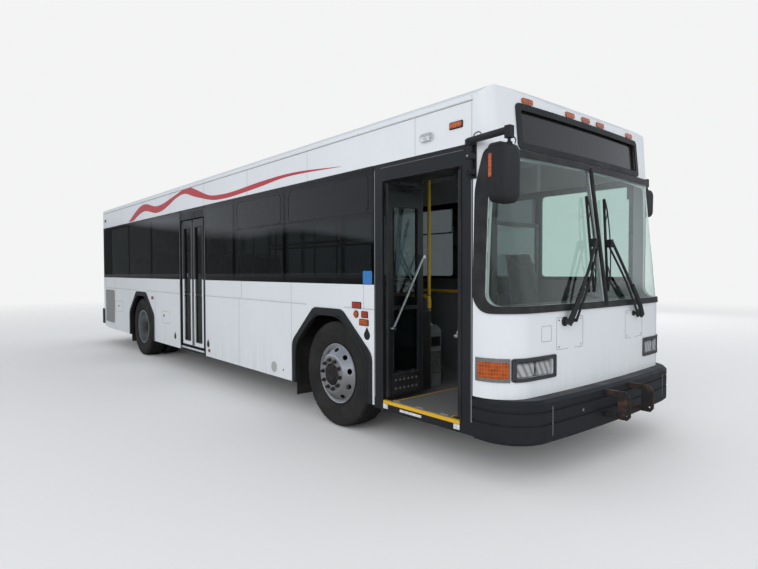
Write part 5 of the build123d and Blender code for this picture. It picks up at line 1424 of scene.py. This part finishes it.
# Their glasses, and the amber strip on the outer side of each head
form = Form(CHROME, AMBER)
for row in MIRRORS:
    side, reach, out, z, height = row[:5]
    form.prism(head_ring(row, -0.0485, 0.0195), (0.004, 0, 0), 0)
    edge = side * (out + HEAD_HALF_WIDTH * 0.975)
    form.block(
        (at(reach) - 0.040, edge, z - height * 0.09),
        (at(reach) - 0.014, edge + side * 0.004, z + height * 0.30), 1,
    )
form.done("mirror_glasses", bevel=0.002)


# Cabin: padded seats, driver's place, linings, lights and rails' fittings

FLOOR_Z, REAR_FLOOR_Z = 0.385, 0.840
# Reach of the backrest's foot, side, floor height
SEAT_ROWS = (
    (-1.210, -1, FLOOR_Z), (-1.950, -1, FLOOR_Z), (-2.750, -1, FLOOR_Z),
    (-1.210, 1, FLOOR_Z), (-1.950, 1, FLOOR_Z), (-2.750, 1, FLOOR_Z), (-3.550, 1, FLOOR_Z),
    (-5.300, -1, REAR_FLOOR_Z), (-6.050, -1, REAR_FLOOR_Z), (-6.750, -1, REAR_FLOOR_Z),
    (-5.300, 1, REAR_FLOOR_Z), (-6.050, 1, REAR_FLOOR_Z), (-6.750, 1, REAR_FLOOR_Z),
)
SEAT_OUTER_Y = half - 0.075
SEAT_WIDTH, SEAT_GAP = 0.420, 0.020
CUSHION_Z, BACK_HEIGHT = 0.440, 0.560
# Width and length of a seat's two pads
PAD_WIDTH, CUSHION_LENGTH, BACK_LENGTH = 0.385, 0.330, 0.430


def pillow(form, origin, long, up, width, length, thickness, dish=0.0):
    """A stuffed pad across the bus: a slab with drawn-in corners that swells, less by dish, in its middle."""
    steps, crown = 12, 0.35
    origin, wide, long, up = Vector(origin), Vector((0, 1, 0)), Vector(long), Vector(up)
    rows = []
    for i in range(steps + 1):
        row = []
        for j in range(steps + 1):
            u, v = 2 * i / steps - 1, 2 * j / steps - 1
            u, v = math.copysign(abs(u) ** 0.8, u), math.copysign(abs(v) ** 0.8, v)
            edge = max(0.0, 1 - abs(u) ** 6) ** 0.5 * max(0.0, 1 - abs(v) ** 6) ** 0.5
            lift = thickness * (edge * (1 - crown) + crown * (1 - u * u) * (1 - v * v))
            lift -= dish * math.exp(-4 * (u * u + v * v))
            pull = 1 - 0.06 * (u * v) ** 4
            row.append(origin + wide * (u * pull * width / 2) + long * (v * pull * length / 2) + up * lift)
        rows.append(row)
    made = [[form.shape.verts.new(p) for p in row] for row in rows]
    flat = [[form.shape.verts.new(p - up * (p - origin).dot(up)) for p in row] for row in rows]
    for i in range(steps):
        for j in range(steps):
            form.shape.faces.new((made[i][j], made[i + 1][j], made[i + 1][j + 1], made[i][j + 1]))
            form.shape.faces.new((flat[i][j], flat[i][j + 1], flat[i + 1][j + 1], flat[i + 1][j]))
    return rows


def piping(form, rows, look):
    """The welt round a pad's edge."""
    ring = rows[0] + [row[-1] for row in rows[1:]] + rows[-1][-2::-1] + [row[0] for row in rows[-2:0:-1]]
    form.tube(ring + ring[:1], 0.0045, look, 6)


lean_angle = math.atan2(0.070, BACK_HEIGHT)
rise = Vector((-math.sin(lean_angle), 0, math.cos(lean_angle)))
back_up = Vector((math.cos(lean_angle), 0, math.sin(lean_angle)))
pitch = Vector((1, 0, 0.020 / 0.430)).normalized()
seat_up = Vector((-pitch.z, 0, pitch.x))
for number, (reach, side, base) in enumerate(SEAT_ROWS):
    form = Form(SEAT, GASKET)
    knee_z = base + CUSHION_Z
    for place in (0, 1):
        y = side * (SEAT_OUTER_Y - SEAT_WIDTH / 2 - place * (SEAT_WIDTH + SEAT_GAP))
        cushion = Vector((at(reach) + 0.250, y, knee_z + 0.0125))
        piping(form, pillow(form, cushion, pitch, seat_up, PAD_WIDTH, CUSHION_LENGTH, 0.042, 0.010), 1)
        back = Vector((at(reach), y, knee_z)) + rise * 0.325 + back_up * 0.0015
        piping(form, pillow(form, back, rise, back_up, PAD_WIDTH, BACK_LENGTH, 0.038, 0.008), 1)
    piece = form.done(f"seat_pads_{number + 1:02d}", sharp=60)

# Grab handles on the backrests
form = Form(YELLOW)
for reach, side, base in SEAT_ROWS:
    top = base + CUSHION_Z + BACK_HEIGHT
    x = at(reach) - 0.088
    inner = side * (SEAT_OUTER_Y - 2 * SEAT_WIDTH - SEAT_GAP + 0.05)
    outer = side * (SEAT_OUTER_Y - 0.05)
    bow = [(x, inner, top - 0.10), (x, inner, top + 0.045), (x, outer, top + 0.045), (x, outer, top - 0.10)]
    form.tube(bent(bow, 0.05), 0.013, sides=10)
form.done("seat_handles")

# Driver's seat on its air suspension: cushion, backrest, headrest, shells, bellows and foot
form = Form(DRIVER_CLOTH, GREY, BLACK, GASKET)
low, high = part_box("driver_seat")
x, y, base = low.x + 0.110, (low.y + high.y) / 2, low.z
lean = Vector((-0.16, 0, 0.987))
cushion = Vector((x + 0.235, y, base + 0.395))
piping(form, pillow(form, cushion, (1, 0, 0.06), (0, 0, 1), 0.455, 0.455, 0.085, 0.022), 3)
back = Vector((x - 0.035, y, base + 0.455)) + lean * 0.310
piping(form, pillow(form, back, lean, (0.987, 0, 0.16), 0.445, 0.62, 0.085, 0.028), 3)
pillow(form, Vector((x - 0.102, y, base + 1.045)), (-0.08, 0, 1), (1, 0, 0.08), 0.26, 0.135, 0.060)
# Two slabs: rear and front x with their heights, half width, and how far each is pushed
for (x0, z0), (x1, z1), wide, push in (
    ((0.012, 0.34), (0.45, 0.36), 0.22, (0, 0, 0.05)),
    ((-0.072, 0.40), (-0.034, 0.40), 0.20, (-0.098, 0, 0.70)),
):
    outline = ((x0, -wide, z0), (x0, wide, z0), (x1, wide, z1), (x1, -wide, z1))
    form.prism([(x + dx, y + dy, base + dz) for dx, dy, dz in outline], push, 1)
bellow = ((0, 0), (0, 0.135), (0.022, 0.150), (0.044, 0.135), (0.044, 0))
for k in range(6):
    form.lathe(bellow, (x + 0.23, y, base + 0.045 + k * 0.044), (0, 0, 1), 2, 24)
form.block((x + 0.08, y - 0.15, base), (x + 0.38, y + 0.15, base + 0.045), 1)
piece = form.done("driver_seat_unit", bevel=0.004, sharp=50)
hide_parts("driver_seat")

# Steering hub; dashboard with its hood, dials without figures and switches; pedals
hub = centre("steering_wheel")
tilt = math.radians(28)
form = Form(BLACK)
form.lathe([(-0.03, 0), (-0.03, 0.045), (0.012, 0.055), (0.022, 0.048), (0.026, 0)], hub,
           (-math.sin(tilt), 0, math.cos(tilt)), 0, 28)
form.done("steering_hub", "steering_wheel")

form = Form(BLACK, SIGN)
hood = [(at(1.80), 1.285), (at(1.70), 1.325), (at(1.66), 1.318), (at(1.668), 1.300), (at(1.80), 1.25)]
form.skin([[(x, y, z) for x, z in hood] for y in (hub.y - 0.20, hub.y + 0.20)], 0)
dial_out = Vector((-0.07, 0, -0.02)).normalized()
for offset, radius in ((-0.11, 0.048), (0.0, 0.040), (0.11, 0.048)):
    rim, well = radius - 0.005, radius - 0.008
    dial = [(0, 0), (0, radius), (0.006, radius), (0.006, rim), (0.002, well), (0.002, 0)]
    form.lathe(dial, (at(1.648), hub.y + offset, 1.155), dial_out, 1, 24)
# Two rows of four switches
for k in range(8):
    y, z = hub.y - 0.34 + 0.034 * (k % 4), 1.175 - 0.035 * (k // 4)
    form.block((at(1.640), y, z - 0.012), (at(1.652), y + 0.022, z + 0.012), 0)
form.done("dash_details", bevel=0.002)

form = Form(BLACK)
for y, width in ((hub.y - 0.13, 0.055), (hub.y - 0.26, 0.05)):
    foot, head = (at(1.60), 0.64), (at(1.70), 0.78)
    outline = [(x, u, z) for (x, z), u in ((foot, y), (foot, y + width), (head, y + width), (head, y))]
    form.prism(outline, (0.018, 0, -0.012))
form.done("pedals", bevel=0.003)

# Farebox: stainless face, slot plate and blank screen
low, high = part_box("farebox")
form = Form(STAINLESS, SIGN)
form.block((low.x + 0.012, low.y - 0.003, low.z + 0.06), (high.x - 0.03, low.y + 0.001, low.z + 0.40), 0)
form.block((low.x + 0.02, high.y - 0.001, low.z + 0.08), (high.x - 0.03, high.y + 0.004, low.z + 0.42), 0)
form.block((high.x - 0.001, low.y + 0.02, low.z + 0.12), (high.x + 0.004, high.y - 0.02, low.z + 0.36), 0)
form.block((high.x - 0.001, low.y + 0.03, low.z + 0.40), (high.x + 0.003, high.y - 0.03, low.z + 0.50), 1)
form.done("farebox_faces", bevel=0.002)

# Linings: pale panels inside the walls, window ledges, light strips along the ceiling's edges
form = Form(PALE_GREY, GREY, CEILING_LIGHT)
INNER_Y = half - 0.047
LINED = {CURB: ((-8.55, -4.14), (-3.08, 0.62)), STREET: ((-8.55, 0.64), (0.70, 1.76))}
LIGHT_SECTION = ((0.80, 2.800), (1.02, 2.760), (1.02, 2.775), (0.80, 2.815))
for side in (CURB, STREET):
    for start, end in LINED[side]:
        for thick, low, high, look in ((0.006, 2.492, RAIL_Z, 0), (0.010, 1.35, 1.44, 1)):
            form.block((at(start), side * INNER_Y, low), (at(end), side * (INNER_Y - thick), high), look)
        form.skin([[(at(x), side * y, z) for y, z in LIGHT_SECTION] for x in (start + 0.2, end - 0.1)], 2)
form.done("cabin_linings")

# Fittings where the poles meet floor, ceiling and rails, and the step edges
form = Form(YELLOW, STAINLESS, YELLOW_EDGE)
pole_y = SEAT_OUTER_Y - 2 * SEAT_WIDTH - SEAT_GAP - 0.019
# Reach, y, foot
POLES = (
    (0.490, -0.430, 0.994), (0.560, pole_y, FLOOR_Z),
    (-1.235, -pole_y, FLOOR_Z), (-1.235, pole_y, FLOOR_Z),
    (-2.775, -pole_y, FLOOR_Z), (-2.775, pole_y, FLOOR_Z),
    (-3.060, -0.560, FLOOR_Z), (-4.200, -0.560, FLOOR_Z), (-4.200, pole_y, FLOOR_Z),
    (-5.325, -pole_y, REAR_FLOOR_Z), (-5.325, pole_y, REAR_FLOOR_Z),
    (-6.775, -pole_y, REAR_FLOOR_Z), (-6.775, pole_y, REAR_FLOOR_Z),
)
flange = ((0.0, 0.0), (0.0, 0.040), (0.008, 0.038), (0.020, 0.023), (0.045, 0.0215), (0.045, 0.0))
for reach, y, foot in POLES:
    form.lathe(flange, (at(reach), y, foot), (0, 0, 1), 1, 20)
    if abs(y) < 0.5 and reach < 0:
        # The clamp on the seat rail beside the pole
        inner, outer = y - math.copysign(0.022, y), y + math.copysign(0.058, y)
        form.block((at(reach) - 0.024, inner, 1.905), (at(reach) + 0.024, outer, 1.955), 0)
for reach, z in ((-4.430, 0.6125), (-4.700, REAR_FLOOR_Z)):
    form.block((at(reach) - 0.045, -0.60, z - 0.001), (at(reach) + 0.003, 0.60, z + 0.003), 2)
    form.block((at(reach) - 0.001, -0.60, z - 0.045), (at(reach) + 0.003, 0.60, z + 0.003), 2)
form.done("pole_fittings", bevel=0.002)

# Yellow covers on the wheelhouse panels' rails
form = Form(YELLOW)
for side in (CURB, STREET):
    bow = ((0.605, 1.18), (0.605, 1.300), (-0.705, 1.300), (-0.705, 1.18))
    form.tube(bent([(at(reach), side * 0.543, z) for reach, z in bow], 0.06), 0.0195)
form.done("panel_rails")


# Rear: seams, louvre frames, latches and hinge; blank plate; louvres; lamp rims; reflectors

REAR_X = at(-8.790)
VENT_Y = (-0.56, 0.0, 0.56)

form = Form(SEAM, STAINLESS, BLACK)
# The engine door's outline
line(form, rounded(-0.928, 0.928, 0.748, 1.528, 0.01), rear_skin, 0.004, closed=True)
line(form, level(BAND_HEAD, -1.12, 1.12, 16), rear_skin, 0.003)
for y in (-0.62, 0.62):
    line(form, upright(y, 1.56, 2.48, 4), rear_skin, 0.0025)
for y in VENT_Y:
    line(form, rounded(y - 0.262, y + 0.262, 0.820, 1.222, 0.012), rear_skin, 0.007, 0.002, closed=True)
for y in (-0.78, 0.78):
    pad(form, rounded(y - 0.05, y + 0.05, 1.405, 1.445, 0.012), rear_skin, 0.004, 1)
    pad(form, rounded(y - 0.035, y + 0.035, 1.414, 1.436, 0.008), rear_skin, 0.010, 2)
form.tube([(REAR_X - 0.008, y, 1.533) for y in (-0.90, 0.90)], 0.008, 1, 10)
form.done("rear_seams")

form = Form(BLACK, WHITE)
pad(form, rounded(-0.175, 0.175, 1.275, 1.445, 0.012), rear_skin, 0.006, 0)
pad(form, rounded(-0.152, 0.152, 1.284, 1.436, 0.008), rear_skin, 0.009, 1)
form.done("blank_plate_rear", "engine_door")

# Louvre blades, set aslant in the engine door's slots
form = Form(WHITE)
blade = ((0.004, 0.018), (0.034, 0.004), (0.034, 0.001), (0.004, 0.015))
BLADE_ROWS, LOWEST_BLADE, BLADE_PITCH = 10, 0.836, 0.038
for row in range(BLADE_ROWS):
    z = LOWEST_BLADE + row * BLADE_PITCH
    for y in VENT_Y:
        form.skin([[(REAR_X + depth, end, z + up) for depth, up in blade] for end in (y - 0.246, y + 0.246)])
form.done("engine_louvres", "engine_door")

form = Form(BLACK)
rim = ((-0.001, 0.050), (-0.001, 0.062), (0.010, 0.060), (0.016, 0.053), (0.016, 0.050))
LAMP_PLACES = (
    (1.075, 0.800), (1.075, 0.930), (1.075, 1.060), (1.075, 1.190), (1.060, 1.700), (1.060, 2.700),
)
for side in (CURB, STREET):
    for y, z in LAMP_PLACES:
        form.lathe(rim, (REAR_X, side * y, z), BACKWARD, 0, 28)
form.done("tail_lamp_rims")

# The reflectors share the red lens's faint glow, which is painted light, since a reflector is no lamp
form = Form(RED_LENS)
for side in (CURB, STREET):
    pad(form, rounded(side * 0.86, side * 0.98, 0.54, 0.60, 0.012), rear_skin, 0.006)
form.done("rear_reflectors")


# Roof: cross seams, and the seals round its two hatches

form = Form(SEAM)
for reach in (-7.70, -6.45, -5.20, -3.95, -2.70, -0.60, 0.60, 1.775):
    line(form, upright(reach, -1.18, 1.18, 24), roof_skin, 0.006, 0.0012)
form.done("roof_seams")
form = Form(GASKET)
HATCH_HALF, HATCH_Z = 0.325, 2.965
for reach in (-1.560, -5.900):
    x = at(reach)
    ring = rounded(x - HATCH_HALF, x + HATCH_HALF, -HATCH_HALF, HATCH_HALF, 0.05, 5)
    form.tube([(*point, HATCH_Z) for point in ring + ring[:1]], 0.007, sides=8)
form.done("hatch_seals")


# Camera, floor and light

BACKDROP = (0.90, 0.903, 0.906)
# Name, place, size, power
LAMPS = (
    ("curb_key", (9, -13, 7), 10, 600), ("street_fill", (-3, 14, 7), 10, 340),
    ("front_fill", (16, 2, 5), 8, 170),
)


def plain_view(tree):
    """1 for rays from the camera or through glass."""
    ray = tree.nodes.new("ShaderNodeLightPath")
    return maths(tree, "MAXIMUM", ray.outputs["Is Camera Ray"], ray.outputs["Is Transmission Ray"])


def set_camera():
    """The camera of the photograph: about 5 m off the nose's curb side corner, at eye height."""
    reach, out, eye_z = 4.400, -4.414, 1.551
    yaw, pitch, roll = (math.radians(v) for v in (49.73, 1.44, -0.14))
    image_width, focal_pixels = 758, 543.0
    ahead = Vector((-math.sin(yaw) * math.cos(pitch), math.cos(yaw) * math.cos(pitch), -math.sin(pitch)))
    right = Vector((math.cos(yaw), math.sin(yaw), 0))
    up = right.cross(ahead)
    right_rolled = math.cos(roll) * right + math.sin(roll) * up
    up_rolled = -math.sin(roll) * right + math.cos(roll) * up
    data = bpy.data.cameras.new("camera")
    data.sensor_width = 36
    data.lens = focal_pixels / image_width * data.sensor_width
    camera = bpy.data.objects.new("camera", data)
    camera.matrix_world = Matrix.Translation((at(reach), out, eye_z)) @ Matrix(
        (right_rolled, up_rolled, -ahead)
    ).transposed().to_4x4()
    bpy.context.collection.objects.link(camera)
    bpy.context.scene.camera = camera


def set_stage():
    """A pale plain floor that runs out into the backdrop. Only the camera and clear glass see it pale."""
    bpy.ops.mesh.primitive_plane_add(size=600, location=(0, 0, 0))
    floor = bpy.context.object
    floor.name = "studio_floor"
    material, tree, bsdf = shader("studio_floor", BACKDROP, 0.9)
    bsdf.inputs["Specular IOR Level"].default_value = 0.1
    seen = plain_view(tree)
    mirrored = tree.nodes.new("ShaderNodeLightPath").outputs["Is Glossy Ray"]
    bounced = mix(tree, mirrored, (0.56, 0.56, 0.56), (0.27, 0.27, 0.27))
    tree.links.new(mix(tree, seen, bounced, (0.93, 0.93, 0.925)), bsdf.inputs["Base Color"])
    far = node(tree, "ShaderNodeVectorMath", Vector=tree.nodes.new("ShaderNodeTexCoord").outputs["Object"])
    far.operation = "LENGTH"
    haze = times(tree, seen, span(tree, far.outputs["Value"], 9.0, 24.0))
    backdrop = node(tree, "ShaderNodeEmission", Color=BACKDROP)
    joined = node(tree, "ShaderNodeMixShader", Fac=haze)
    tree.links.new(bsdf.outputs["BSDF"], joined.inputs[1])
    tree.links.new(backdrop.outputs["Emission"], joined.inputs[2])
    tree.links.new(joined.outputs["Shader"], tree.nodes["Material Output"].inputs["Surface"])
    floor.data.materials.append(material)


def set_light():
    """A soft overcast sky with broken cloud, a dark skyline that only glossy rays meet, and the lamps."""
    world = bpy.data.worlds.new("overcast")
    bpy.context.scene.world = world
    world.use_nodes = True
    tree = world.node_tree
    where = tree.nodes.new("ShaderNodeTexCoord")
    upward = node(tree, "ShaderNodeSeparateXYZ", Vector=where.outputs["Generated"]).outputs["Z"]
    drawn = node(tree, "ShaderNodeMapping", Vector=where.outputs["Generated"], Scale=(1.0, 1.0, 2.6))
    cloud = node(tree, "ShaderNodeTexNoise", Vector=drawn.outputs["Vector"], Scale=2.4, Detail=5.0)
    cloud_tone = mix(
        tree, span(tree, cloud.outputs["Fac"], 0.38, 0.66), (0.38, 0.40, 0.43), (0.70, 0.71, 0.73)
    )
    sky = mix(tree, span(tree, upward, -0.05, 0.75), (1.46, 1.48, 1.52), cloud_tone)
    ray = tree.nodes.new("ShaderNodeLightPath")
    sky = mix(tree, ray.outputs["Is Glossy Ray"], sky, mix(tree, 0.56, sky, (0.0, 0.04, 0.11)))
    roofs = node(tree, "ShaderNodeTexNoise", Vector=where.outputs["Generated"], Scale=5.0, Detail=1.0)
    edge = maths(tree, "SUBTRACT", upward, times(tree, roofs.outputs["Fac"], 0.10))
    skyline = times(tree, ray.outputs["Is Glossy Ray"], span(tree, edge, 0.012, 0.026, 1.0, 0.0))
    mirrored = mix(tree, skyline, sky, (0.060, 0.063, 0.066))
    seen = mix(tree, plain_view(tree), mirrored, BACKDROP)
    tree.links.new(seen, tree.nodes["Background"].inputs["Color"])
    for name, spot, size, power in LAMPS:
        data = bpy.data.lights.new(name, "AREA")
        data.size = size
        data.energy = power
        lamp = bpy.data.objects.new(name, data)
        lamp.visible_glossy = False
        lamp.visible_transmission = False
        lamp.location = spot
        lamp.rotation_euler = (Vector((0, 0, 1)) - Vector(spot)).to_track_quat("-Z", "Y").to_euler()
        bpy.context.collection.objects.link(lamp)


set_camera()
set_stage()
set_light()
bpy.context.scene.view_settings.view_transform = "Standard"
